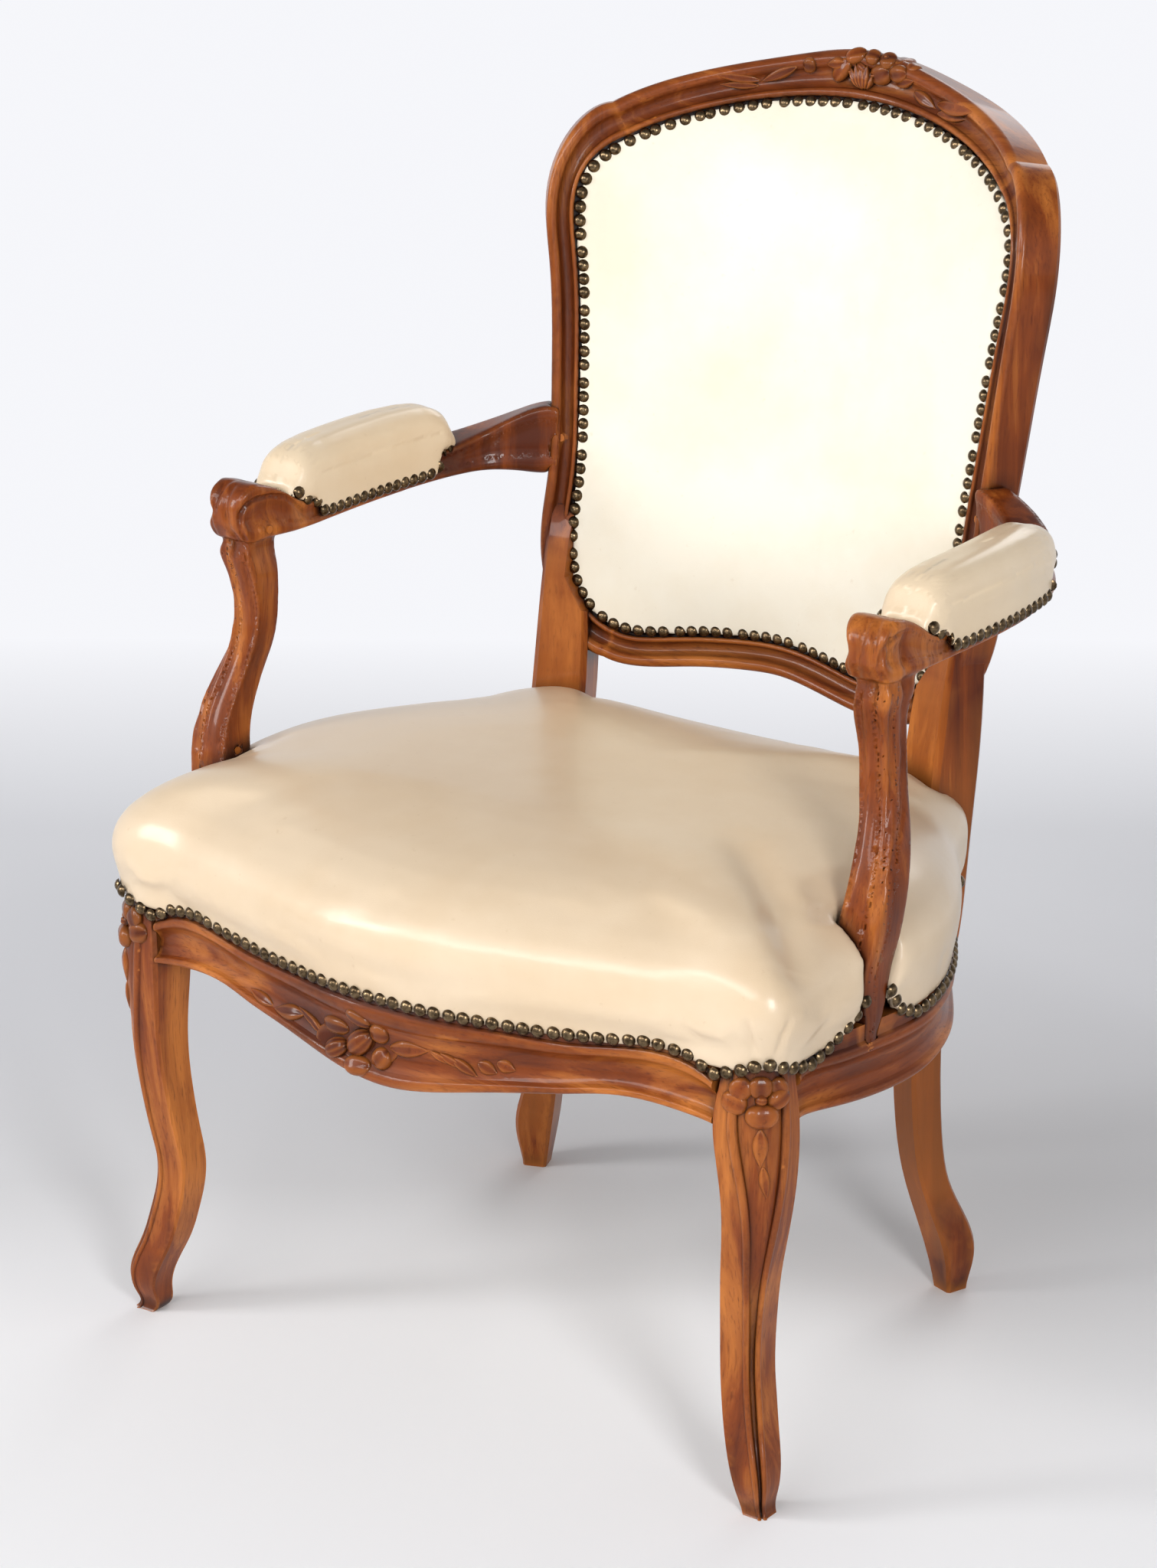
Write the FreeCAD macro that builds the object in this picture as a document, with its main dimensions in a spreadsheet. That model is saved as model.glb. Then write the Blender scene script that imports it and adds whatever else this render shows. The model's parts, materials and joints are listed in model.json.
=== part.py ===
import FreeCAD
import Part
import Sketcher

import math
import os

from FreeCAD import Placement, Rotation, Vector

# An open-arm upholstered chair with a hollow nailed back, cabriole legs and a sprung seat.
# Millimetres. +Z is up, the chair faces -Y, and the origin is on the floor under its middle.

doc = FreeCAD.newDocument("armchair")

# Driving dimensions: name, millimetres, meaning
DIMENSIONS = (
    ("back_half_width", 190.0, "nail line of the back at its widest, from the middle"),
    ("back_bottom", 483.0, "height of the nail line on the lower back rail"),
    ("back_height", 393.0, "nail line from lower rail to crest"),
    ("back_setback", 151.5, "front of the stiles behind the origin, at the arms"),
    ("back_rake", 67.0, "how far the crest leans behind the lower rail"),
    ("hollow_crest", 76.5, "hollow of the back at the crest"),
    ("hollow_bottom", 33.0, "hollow of the back at the lower rail"),
    ("stile_width", 26.0, "stile outside the nail line"),
    ("crest_width", 34.0, "crest rail above the nail line"),
    ("lower_rail_width", 28.0, "lower rail below the nail line"),
    ("crest_carving", 8.0, "extra height of the crest for its carved flowers"),
    ("frame_depth", 31.0, "back frame, front to rear"),
    ("rebate_width", 8.0, "rebate inside the nail line of the back"),
    ("rebate_depth", 6.0, "rebate for webbing, hessian and leather"),
    ("rear_rebate", 2.5, "rebate for the leather behind the back"),
    ("seat_half_width", 270.0, "middle of each front leg, across"),
    ("seat_front", 247.0, "middle of each front leg, in front of the origin"),
    ("nail_height", 343.0, "nail line on the front rail"),
    ("rail_height", 55.0, "seat rails, below the nails' band and with it"),
    ("rail_thickness", 30.0, "seat rails, outside to inside"),
    ("rail_bow", 47.0, "front rail, forward of the legs at its middle"),
    ("side_bow", 52.0, "side rails, outward of a straight line from leg to post"),
    ("rail_rebate", 2.6, "rebate for the leather and nails on the seat rails"),
    ("nail_band", 12.0, "height of that rebate"),
    ("leg_block", 43.0, "side of the front leg between the rails"),
    ("leg_sweep", 12.0, "S curve of the front leg, each way"),
    ("foot_across", 198.0, "middle of the rear foot, across"),
    ("foot_behind", 139.0, "middle of the rear foot, behind the origin"),
    ("post_across", 173.0, "middle of the rear post at the seat, across"),
    ("post_side", 44.0, "side of the rear post at the seat"),
    ("post_turn", 20.0, "degrees that the rear post turns inward"),
    ("seat_crown", 440.0, "top of the seat"),
    ("spring_height", 76.0, "seat springs, standing on the webbing"),
    ("arm_bottom", 583.0, "underside of the arm"),
    ("arm_thickness", 22.0, "arm under its pad"),
    ("arm_width", 46.0, "arm under its pad, across"),
    ("arm_across", 278.0, "middle of the arm under its pad, across"),
    ("arm_front", 160.0, "front of the arm before the origin"),
    ("pad_length", 196.0, "arm pad"),
    ("pad_height", 37.0, "arm pad above the wood"),
    ("support_side", 36.0, "arm support at its foot"),
    ("support_behind", 103.0, "arm support from the front leg, at its foot"),
    ("leather", 1.5, "leather thickness"),
    ("hessian", 0.8, "hessian thickness"),
    ("web_width", 50.0, "seat webbing width"),
    ("back_web_width", 45.0, "back webbing width"),
    ("web_thickness", 1.6, "webbing thickness"),
    ("strap_pitch", 75.0, "straps that run front to back, apart"),
    ("cross_pitch", 90.0, "straps that run across, apart"),
    ("nail_head", 10.0, "dome nail head diameter"),
    ("nail_dome", 3.2, "dome nail head height"),
    ("nail_shank", 1.4, "dome nail shank diameter"),
    ("nail_length", 11.0, "dome nail shank below the head"),
    ("nail_pitch", 11.2, "from nail to nail"),
    ("spring_wire", 3.4, "seat spring wire"),
    ("spring_across", 62.0, "seat spring, middle of the wire across"),
    ("spring_turns", 5.0, "seat spring turns"),
    ("clearance", 0.3, "between fitted parts"),
    ("tenon_length", 18.0, "tenons"),
    ("tenon_thickness", 10.0, "tenons, thin way"),
    ("tenon_width", 30.0, "tenons, wide way"),
    ("peg_diameter", 6.0, "wooden pegs"),
    ("screw_diameter", 4.0, "screw shanks"),
    ("screw_head", 8.0, "screw heads"),
    ("screw_length", 48.0, "screws over all"),
    ("tack_head", 6.0, "webbing tack heads"),
    ("tack_length", 8.0, "webbing tacks below the head"),
    ("brace_height", 24.0, "corner braces, up and down"),
    ("brace_width", 36.0, "corner braces, across"),
    ("front_brace", 140.0, "front corner braces, before their ends are fitted"),
    ("rear_brace", 176.0, "rear corner braces, before their ends are fitted"),
)

sizes = doc.addObject("Spreadsheet::Sheet", "sizes")
for row, (alias, number, meaning) in enumerate(DIMENSIONS, start=1):
    sizes.set("A%d" % row, alias)
    sizes.set("B%d" % row, str(number))
    sizes.set("C%d" % row, meaning)
    sizes.setAlias("B%d" % row, alias)
doc.recompute()
VALUES = {alias: float(sizes.get(alias)) for alias, number, meaning in DIMENSIONS}


def size(alias):
    return VALUES[alias]


parts = []


def keep(label, shape):
    """One sub-part whose curved shape comes from lofted sections."""
    feature = doc.addObject("Part::Feature", label)
    feature.Label = label
    feature.Shape = shape
    feature.Placement = Placement()
    parts.append(feature)
    return feature


def mirrored(shape):
    return shape.mirror(Vector(), Vector(1, 0, 0))


def keep_pair(name, right_shape):
    """The right-hand piece and its mirror image."""
    keep(name + "_right", right_shape)
    keep(name + "_left", mirrored(right_shape))


def between(low, high, share):
    return low + (high - low) * share


def eased(share):
    """A smooth run from 0 to 1."""
    held = min(max(share, 0.0), 1.0)
    return held * held * (3 - 2 * held)


# Two points nearer than this are one
SAME_PLACE = 1e-5

ACROSS = Vector(1, 0, 0)
BEHIND = Vector(0, 1, 0)
UP = Vector(0, 0, 1)
QUARTER_TURN = 90


def closed_wire(place, steps):
    """A closed section: a step of two numbers is a line to it, one of four an arc through its first point."""
    start = first = place(*steps[0])
    edges = []
    for step in steps[1:]:
        end = place(*step[-2:])
        if len(step) == 4:
            edges.append(Part.Arc(start, place(*step[:2]), end).toShape())
        else:
            edges.append(Part.LineSegment(start, end).toShape())
        start = end
    if not start.isEqual(first, SAME_PLACE):
        edges.append(Part.LineSegment(start, first).toShape())
    return Part.Wire(edges)


def loft(wires, straight=False):
    solid = Part.makeLoft(wires, True, straight)
    if solid.Volume < 0:
        solid.reverse()
    return solid


def smooth_line(points):
    curve = Part.BSplineCurve()
    curve.interpolate(points)
    return curve


def board(middle, long_way, wide_way, length, width, thickness):
    """A straight block; long_way and wide_way are its directions."""
    along = Vector(long_way).normalize()
    across = Vector(wide_way)
    across = (across - along * across.dot(along)).normalize()
    thin = along.cross(across)
    turn = Rotation(along, across, thin, "XYZ")
    block = Part.makeBox(length, width, thickness, Vector(-length / 2, -width / 2, -thickness / 2))
    block.Placement = Placement(middle, turn)
    return block


def rod(start, end, diameter):
    run = end - start
    return Part.makeCylinder(diameter / 2, run.Length, start, run)


# The hollow back

BACK_TOP = size("back_bottom") + size("back_height")
LEAN = size("back_rake") / size("back_height")


# How far below the back and beside it, as shares of its height and half width, its hollow goes on
HOLLOW_LOW_SHARE = -0.5
HOLLOW_REACH_SHARE = 1.25


def hollow(x, z):
    """How far the back lies behind its stiles at this place."""
    share = (z - size("back_bottom")) / size("back_height")
    depth = between(size("hollow_bottom"), size("hollow_crest"), max(share, HOLLOW_LOW_SHARE))
    chord = size("back_half_width")
    radius = (chord**2 + depth**2) / (2 * depth)
    reach = min(abs(x), chord * HOLLOW_REACH_SHARE)
    return math.sqrt(radius**2 - reach**2) - (radius - depth)


def back_face(x, z):
    lean = LEAN * (z - size("arm_bottom"))
    return Vector(x, size("back_setback") + lean + hollow(x, z), z)


def back_slopes(x, z):
    probe = size("clearance")
    across = back_face(x + probe, z) - back_face(x - probe, z)
    upward = back_face(x, z + probe) - back_face(x, z - probe)
    return across.normalize(), upward.normalize()


def back_point(x, z, deep):
    """A point straight behind the front of the back, where a layer this deep has its face."""
    across, upward = back_slopes(x, z)
    return back_face(x, z) + Vector(0, deep / upward.cross(across).normalize().y, 0)


# The nail line of the back, as shares of its half width and height, from the lower rail's middle up
LOWER_JOINT_SHARE = (0.68, -0.026)
CREST_JOINT_SHARE = (0.86, 0.905)
OUTLINE_SHARES = (
    (0.30, -0.013), (0.50, -0.028), LOWER_JOINT_SHARE, (0.82, 0.018), (0.89, 0.09), (0.90, 0.25),
    (0.92, 0.42), (0.945, 0.56), (0.975, 0.68), (1.0, 0.78), (0.975, 0.852), CREST_JOINT_SHARE,
    (0.76, 0.930), (0.60, 0.958), (0.36, 0.985),
)


def outline_place(share):
    across, up = share
    return Vector(across * size("back_half_width"), 0, size("back_bottom") + up * size("back_height"))


def outline_loop():
    right = [outline_place(share) for share in OUTLINE_SHARES]
    left = [Vector(-point.x, 0, point.z) for point in reversed(right)]
    points = [outline_place((0, 0))] + right + [outline_place((0, 1))] + left
    curve = Part.BSplineCurve()
    curve.interpolate(Points=points, PeriodicFlag=True)
    return curve


outline = outline_loop()
LOWER_JOINT = outline.parameter(outline_place(LOWER_JOINT_SHARE))
CREST_JOINT = outline.parameter(outline_place(CREST_JOINT_SHARE))
CREST_MIDDLE = outline.parameter(outline_place((0, 1)))


def on_outline(along, out, deep):
    """A point of the back frame: along its nail line, out from it and behind the front face."""
    point = outline.value(along)
    tangent = outline.tangent(along)[0]
    across, upward = back_slopes(point.x, point.z)
    outward = (across * tangent.z - upward * tangent.x).normalize()
    rearward = upward.cross(across).normalize()
    return back_face(point.x, point.z) + outward * out + rearward * deep


# The stile widens to the crest between these shares of the height, and to the lower rail below one
CREST_FLARE_SHARES = (0.80, 0.94)
LOWER_FLARE_SHARE = 0.08
CARVING_SPREAD_SHARE = 0.27


def member_width(along):
    """Width of the back frame outside its nail line."""
    point = outline.value(along)
    up = (point.z - size("back_bottom")) / size("back_height")
    start, end = CREST_FLARE_SHARES
    width = between(size("stile_width"), size("crest_width"), eased((up - start) / (end - start)))
    width = between(width, size("lower_rail_width"), eased(1 - up / LOWER_FLARE_SHARE))
    if up > CREST_JOINT_SHARE[1]:
        spread = point.x / (size("back_half_width") * CARVING_SPREAD_SHARE)
        width += size("crest_carving") * math.exp(-spread * spread)
    return width


# Bead, cove and outer roll of the back frame, as shares of the moulded width and the frame's depth
MOULDING_SHARES = (
    (0.09, -0.02, 0.18, 0.035), (0.20, 0.07), (0.40, 0.15, 0.60, 0.06), (0.63, 0.02),
    (0.84, -0.06, 1.0, 0.13),
)


# Where the moulding starts, and the chamfer of the outer rear edge
MEMBER_EDGE_SHARES = ((0.0, 0.035), (1.0, 0.90), (0.88, 1.0))


def member_wire(along):
    width = member_width(along)
    depth = size("frame_depth")
    inner = -size("rebate_width")
    nailed = size("nail_head") / 2
    floor = size("rebate_depth")
    moulded = width - nailed
    edge = depth - size("rear_rebate")

    def share(out, deep):
        return nailed + out * moulded, deep * depth

    steps = [(inner, floor), (nailed, floor), share(*MEMBER_EDGE_SHARES[0])]
    for shares in MOULDING_SHARES:
        pairs = [share(*shares[i : i + 2]) for i in range(0, len(shares), 2)]
        steps.append(tuple(number for pair in pairs for number in pair))
    steps += [share(*shares) for shares in MEMBER_EDGE_SHARES[1:]]
    steps += [(nailed, depth), (nailed, edge), (inner, edge)]
    return closed_wire(lambda out, deep: on_outline(along, out, deep), steps)


def member(first, last, stations):
    """A length of the back frame between two places on its nail line."""
    places = [between(first, last, i / (stations - 1)) for i in range(stations)]
    return loft([member_wire(place) for place in places])


# Stations of the rear leg and post: height as a share of the lower rail's height, across and
# behind between foot (0) and post (1), side as a share of the post's
REAR_LEG_SHARES = (
    (0.0, 0.0, 0.0, 0.44), (0.035, 0.0, 0.0, 0.56), (0.09, 0.10, 0.13, 0.70), (0.17, 0.58, 0.62, 0.62),
    (0.24, 0.82, 0.94, 0.61), (0.36, 0.96, 1.12, 0.64), (0.48, 1.0, 1.12, 0.72), (0.58, 1.0, 0.88, 0.90),
    (0.68, 1.0, 0.55, 1.0), (0.80, 1.0, 0.06, 1.0), (0.90, 0.98, -0.38, 0.98),
)
REAR_LEG_KICK_SHARE = 0.034


POST_CORNER_SHARE = 0.8
POST_TOP_SHARE = (0.90, 0.20)
POST_TOP_OUT_SHARE = 0.35
POST_TOP_SIDE_SHARE = 0.78


def post_middle(up, inward, forward):
    """The middle of the rear leg and post at one station."""
    kick = REAR_LEG_KICK_SHARE * size("back_bottom")
    return Vector(
        between(size("foot_across"), size("post_across"), inward),
        size("foot_behind") - kick * forward,
        up * size("back_bottom"),
    )


def rear_post_wire(middle, side):
    half = side / 2
    cut = half * POST_CORNER_SHARE
    facing = Rotation(UP, -size("post_turn"))
    steps = [
        (-half, -cut), (-cut, -half), (cut, -half), (half, -cut), (half, cut), (cut, half), (-cut, half),
        (-half, cut),
    ]
    return closed_wire(lambda out, back: middle + facing.multVec(Vector(out, back, 0)), steps)


def rear_post():
    """Rear leg and post up into the moulded stile."""
    wires = []
    for up, inward, forward, side in REAR_LEG_SHARES:
        wires.append(rear_post_wire(post_middle(up, inward, forward), side * size("post_side")))
    along = outline.parameter(outline_place(POST_TOP_SHARE))
    top = on_outline(along, size("stile_width") * POST_TOP_OUT_SHARE, size("frame_depth") / 2)
    wires.append(rear_post_wire(top, size("frame_depth") * POST_TOP_SIDE_SHARE))
    return loft(wires)


# Front legs: height as a share of the nail line's height, across and forward as shares of the
# sweep, side as a share of the block, and how far the two ridges stand apart
FRONT_LEG_SHARES = (
    (0.0, 0.83, 0.17, 0.41, 0.16), (0.05, 0.62, 0.17, 0.52, 0.17), (0.115, 0.42, 0.17, 0.64, 0.18),
    (0.175, -0.17, -0.33, 0.67, 0.19), (0.235, -0.58, -0.67, 0.675, 0.20),
    (0.29, -0.87, -0.92, 0.67, 0.20), (0.35, -0.98, -1.04, 0.675, 0.20),
    (0.435, -0.75, -0.75, 0.70, 0.22), (0.525, -0.42, -0.42, 0.745, 0.27),
    (0.61, -0.08, -0.25, 0.81, 0.35), (0.70, 0.12, -0.17, 0.90, 0.45), (0.79, 0.10, -0.08, 1.0, 0.54),
    (0.90, 0.03, 0.0, 1.0, 0.60), (1.02, 0.0, 0.0, 1.0, 0.62),
)
# Where the ridges and the groove between them stand, as shares of the leg's half diagonal
RIDGE_WIDTH_SHARE = 0.11
RIDGE_STAND_SHARE = 0.055
GROOVE_SHARES = (0.66, 0.60)
SPREAD_SHARES = (0.16, 0.62)
VALLEY_SHARES = (0.06, 0.25)
# The leg's section from its rear corner to its side corner, as shares of the half diagonal
LEG_REAR_SHARES = ((-0.92, 0.08), (-0.08, 0.94), (0.04, 0.96))


def front_leg_wire(up, across, forward, side, spread):
    half = side * size("leg_block") / math.sqrt(2)
    sweep = size("leg_sweep")
    middle = Vector(
        size("seat_half_width") + across * sweep,
        -size("seat_front") - forward * sweep,
        up * size("nail_height"),
    )
    outward = Vector(1, -1, 0).normalize()
    sideways = Vector(1, 1, 0).normalize()
    wide = spread + RIDGE_WIDTH_SHARE
    near = spread - RIDGE_WIDTH_SHARE
    opened = (spread - SPREAD_SHARES[0]) / (SPREAD_SHARES[1] - SPREAD_SHARES[0])
    groove = between(GROOVE_SHARES[0], GROOVE_SHARES[1], opened)
    valley = between(1 - spread - VALLEY_SHARES[0], groove, VALLEY_SHARES[1])

    def place(out, cross):
        return middle + outward * (out * half) + sideways * (cross * half)

    ridge = 1 - spread + RIDGE_STAND_SHARE
    steps = [(out, -cross) for out, cross in LEG_REAR_SHARES] + [(1 - wide, -wide)]
    steps += [(ridge, -spread, valley, -near), (groove, 0.0, valley, near), (ridge, spread, 1 - wide, wide)]
    steps += reversed(LEG_REAR_SHARES)
    return closed_wire(place, steps)


def front_leg():
    return loft([front_leg_wire(*shares) for shares in FRONT_LEG_SHARES])


# Seat rails

JOINT_ACROSS = size("seat_half_width") - size("leg_block") / 2
BLOCK_FACE = size("seat_front") + size("leg_block") / 2
BLOCK_BACK = -size("seat_front") + size("leg_block") / 2
BLOCK_OUTSIDE = size("seat_half_width") + size("leg_block") / 2
POST_FRONT_SHARE = 0.27
RAIL_END = size("foot_behind") - size("post_side") * POST_FRONT_SHARE
BACK_RAIL_MIDDLE = size("foot_behind") - size("rail_thickness") / 3
BACK_RAIL_HALF_SHARE = 0.36
BACK_RAIL_HEIGHT_SHARE = 0.8
BACK_RAIL_REAR = BACK_RAIL_MIDDLE + size("rail_thickness") / 2

# Front rail from its middle: across as a share of its half length, bow, lift of the nail line
# as a share of its band, and height as a share of the rail's
FRONT_RAIL_SHARES = (
    (0.0, 1.0, 0.0, 1.32), (0.16, 0.96, 0.0, 1.24), (0.32, 0.79, 0.0, 1.11), (0.49, 0.57, -0.05, 0.98),
    (0.65, 0.36, 0.1, 0.89), (0.81, 0.17, 0.4, 0.93), (0.93, 0.04, 0.0, 0.92), (1.0, 0.0, -0.7, 0.82),
)
# Side rail from the front leg back: along, bow, lift of the nail line and height
SIDE_RAIL_SHARES = (
    (0.0, 0.0, -0.7, 0.84), (0.1, 0.27, -0.3, 0.97), (0.2, 0.56, -0.4, 1.01), (0.3, 0.80, -0.5, 1.02),
    (0.4, 0.97, -0.55, 1.0), (0.5, 1.0, -0.5, 0.99), (0.6, 0.90, -0.45, 0.99), (0.7, 0.67, -0.3, 1.01),
    (0.8, 0.40, -0.2, 1.03), (0.9, 0.16, 0.0, 1.07), (1.0, 0.0, 0.1, 1.09),
)
# Outside of a seat rail: out as a share of its thickness, up as a share of the height below its nail band
RAIL_MOULDING_SHARES = (
    (0.02, 0.08, -0.05, 0.17), (-0.10, 0.20), (-0.24, 0.45, -0.10, 0.74), (-0.04, 0.78),
    (0.02, 0.86, -0.02, 0.96),
)


# The seat rails' inner lower edge is stepped up to the webbing, this share of the thickness wide
STEP_SHARES = (0.45, 0.40)
LOWER_EDGE_SHARES = ((-0.12, 0.0), (-0.04, 0.02))


def rail_wire(face, outward, bottom, height, step_height):
    thick = size("rail_thickness")
    visible = height - size("nail_band")
    step = max(step_height - bottom, 0.0)

    def place(out, up):
        return face + outward * out + Vector(0, 0, bottom + up)

    steps = [(-thick, step), (-thick * STEP_SHARES[0], step), (-thick * STEP_SHARES[1], 0.0)]
    steps += [(out * thick, up * visible) for out, up in LOWER_EDGE_SHARES]
    for shares in RAIL_MOULDING_SHARES:
        pairs = [(shares[i] * thick, shares[i + 1] * visible) for i in range(0, len(shares), 2)]
        steps.append(tuple(number for pair in pairs for number in pair))
    steps += [(-size("rail_rebate"), visible), (-size("rail_rebate"), height), (-thick, height)]
    return closed_wire(place, steps)


def rail_top(lift):
    return size("nail_height") + size("nail_band") * (0.5 + lift)


# Undersides of the front and back rails, where the straps that run front to back are tacked, and of
# the side rails, one strap lower
WEB_SHARE = 0.68
WEB_TOP = rail_top(-0.5) - size("rail_height") * WEB_SHARE
CROSS_TOP = WEB_TOP - size("web_thickness")


def front_rail_points():
    half = [
        (Vector(x * JOINT_ACROSS, -BLOCK_FACE - bow * size("rail_bow"), 0), lift, height)
        for x, bow, lift, height in FRONT_RAIL_SHARES
    ]
    left = [(Vector(-face.x, face.y, 0), lift, height) for face, lift, height in reversed(half[1:])]
    return left + half


SIDE_RAIL_SHARE = 0.62


def side_rail_points():
    outside = size("post_across") + size("post_side") * SIDE_RAIL_SHARE
    return [
        (
            Vector(
                between(BLOCK_OUTSIDE, outside, along) + bow * size("side_bow"),
                between(BLOCK_BACK, RAIL_END, along),
                0,
            ),
            lift,
            height,
        )
        for along, bow, lift, height in SIDE_RAIL_SHARES
    ]


def seat_rail(points, square_ends, step_height):
    line = smooth_line([face for face, lift, height in points])
    wires = []
    for number, (face, lift, height) in enumerate(points):
        tangent = line.tangent(line.parameter(face))[0]
        if number in square_ends:
            tangent = square_ends[number]
        outward = Vector(tangent.y, -tangent.x, 0).normalize()
        tall = height * size("rail_height")
        wires.append(rail_wire(face, outward, rail_top(lift) - tall, tall, step_height))
    return loft(wires)


def front_seat_rail():
    points = front_rail_points()
    return seat_rail(points, {0: ACROSS, len(points) - 1: ACROSS}, WEB_TOP)


def side_seat_rail():
    return seat_rail(side_rail_points(), {0: BEHIND}, CROSS_TOP)


# Arm supports: height above the nail line as a share of the way to the arm, across and forward of
# the foot as shares of the support's side, widths across and along as shares of it
SUPPORT_SHARES = (
    (-0.075, 0.30, 0.14, 0.34, 0.36), (-0.01, 0.22, 0.12, 0.48, 0.48), (0.07, 0.06, 0.06, 0.80, 0.80),
    (0.155, -0.03, 0.0, 1.0, 1.0), (0.24, 0.06, -0.11, 1.0, 1.0), (0.32, 0.14, -0.19, 0.97, 0.97),
    (0.40, 0.17, -0.31, 0.93, 0.93), (0.49, 0.11, -0.53, 0.87, 0.87), (0.57, 0.0, -0.75, 0.80, 0.80),
    (0.65, -0.14, -0.92, 0.76, 0.76), (0.74, -0.22, -1.0, 0.74, 0.74), (0.82, -0.25, -0.97, 0.76, 0.78),
    (0.90, -0.22, -0.89, 0.82, 0.90), (1.0, -0.17, -0.83, 0.88, 1.0),
)
SUPPORT_FOOT_SHARE = 0.14


def support_middle(up, across, forward):
    side = size("support_side")
    return Vector(
        BLOCK_OUTSIDE + (across - SUPPORT_FOOT_SHARE) * side,
        -size("seat_front") + size("support_behind") - forward * side,
        between(size("nail_height"), size("arm_bottom"), up),
    )


# The support's section as shares of its half width and depth: three ribs run up the outer front corner
SUPPORT_SECTION_SHARES = (
    (-1.0, -0.86), (-0.90, -1.0), (0.28, -1.0), (0.34, -0.90), (0.51, -1.0, 0.68, -0.86),
    (0.93, -0.93, 0.86, -0.68), (1.0, -0.51, 0.90, -0.34), (1.0, -0.28), (1.0, 0.90), (0.90, 1.0),
    (-0.90, 1.0), (-1.0, 0.90),
)


def support_wire(up, across, forward, wide, deep):
    middle = support_middle(up, across, forward)
    half_wide = wide * size("support_side") / 2
    half_deep = deep * size("support_side") / 2

    def place(out, back):
        return middle + Vector(out * half_wide, back * half_deep, 0)

    return closed_wire(place, SUPPORT_SECTION_SHARES)


def arm_support():
    return loft([support_wire(*shares) for shares in SUPPORT_SHARES])


# Arms: back from the front end as a share of the way to the stile, across and height of its middle,
# width across and height, as shares of the arm's
ARM_SHARES = (
    (0.0, 0.06, 0.45, 0.60, 0.55), (0.025, 0.055, 0.47, 0.84, 1.35), (0.07, 0.045, 0.475, 0.96, 1.95),
    (0.13, 0.02, 0.47, 1.0, 1.94), (0.20, -0.01, 0.25, 1.0, 1.50), (0.255, -0.02, 0.0, 1.0, 1.0),
    (0.40, 0.0, 0.0, 1.0, 1.0), (0.55, 0.0, 0.0, 0.98, 1.0), (0.70, -0.10, 0.02, 0.94, 1.0),
    (0.82, -0.32, 0.10, 0.84, 1.12), (0.90, -0.66, 0.28, 0.74, 1.45), (0.95, -1.12, 0.52, 0.66, 2.0),
    (1.0, -1.85, 0.72, 0.60, 2.4),
)
ARM_MIDDLE = size("arm_bottom") + size("arm_thickness") / 2


def arm_line():
    reach = size("arm_front") + size("back_setback") + size("frame_depth") / 2
    return [
        Vector(
            size("arm_across") + across * size("arm_width"),
            along * reach - size("arm_front"),
            ARM_MIDDLE + up * size("arm_thickness"),
        )
        for along, across, up, wide, tall in ARM_SHARES
    ]


# Bead, groove and upper bead of the arm's section, as shares of its half width and half height
ARM_SECTION_SHARES = (
    (-0.78, -1.0), (0.78, -1.0), (1.0, -0.9, 0.98, -0.45), (0.92, -0.36), (0.86, 0.2, 0.92, 0.62),
    (1.0, 0.80, 0.86, 1.0), (-0.86, 1.0), (-1.0, 0.80, -0.92, 0.62), (-0.86, 0.2, -0.92, -0.36),
    (-0.98, -0.45), (-1.0, -0.9, -0.78, -1.0),
)


def arm():
    points = arm_line()
    line = smooth_line(points)
    wires = []
    for point, (along, across, up, wide, tall) in zip(points, ARM_SHARES):
        tangent = line.tangent(line.parameter(point))[0]
        outward = Vector(tangent.y, -tangent.x, 0).normalize() if along else ACROSS
        half_wide = wide * size("arm_width") / 2
        half_tall = tall * size("arm_thickness") / 2
        wires.append(
            closed_wire(lambda out, rise: point + outward * (out * half_wide) + UP * (rise * half_tall),
                        ARM_SECTION_SHARES)
        )
    return loft(wires)


def bound(kind, label, **formulas):
    """An object whose properties follow the sheet."""
    thing = doc.addObject(kind, label)
    thing.Label = label
    for name, formula in formulas.items():
        thing.setExpression(name, formula)
    return thing


def largest(shape):
    return max(shape.Solids, key=lambda solid: solid.Volume)


# Joints of the wooden frame

RAIL_MIDDLE_SHARE = 0.36
RAIL_MIDDLE = rail_top(-0.7) - size("rail_height") * RAIL_MIDDLE_SHARE
HALF_RAIL = size("rail_thickness") / 2
FRAME_TENON_SHARE = 0.5
SUPPORT_TENON_SHARE = 0.55
ARM_TENON_SHARE = 0.8
FRAME_TENON_OUT_SHARE = 0.4
SIDE_TENON_SHARE = 0.72
ARM_JOINT = outline.parameter(outline_place((0.91, 0.33)))


def tongue(middle, along, wide_way, loose, wide_share=1.0):
    """A tenon, or with some looseness its mortise, half on each side of the joint."""
    return board(
        middle,
        along,
        wide_way,
        2 * size("tenon_length") + 2 * loose,
        wide_share * size("tenon_width") + loose,
        size("tenon_thickness") + loose,
    )


def frame_outward(along):
    return on_outline(along, size("stile_width"), 0) - on_outline(along, 0, 0)


def frame_tongue(along, loose=0.0):
    """Between a stile and the crest or lower rail, along the frame."""
    deep = size("frame_depth") / 2
    step = (CREST_JOINT - LOWER_JOINT) / RING_STATIONS
    run = on_outline(along + step, 0, deep) - on_outline(along - step, 0, deep)
    middle = on_outline(along, member_width(along) * FRAME_TENON_OUT_SHARE, deep)
    return tongue(middle, run, frame_outward(along), loose, FRAME_TENON_SHARE)


def front_tongue(loose=0.0):
    return tongue(Vector(JOINT_ACROSS, -BLOCK_FACE + HALF_RAIL, RAIL_MIDDLE), ACROSS, UP, loose)


def side_front_tongue(loose=0.0):
    return tongue(Vector(BLOCK_OUTSIDE - HALF_RAIL, BLOCK_BACK, RAIL_MIDDLE), BEHIND, UP, loose)


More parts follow.
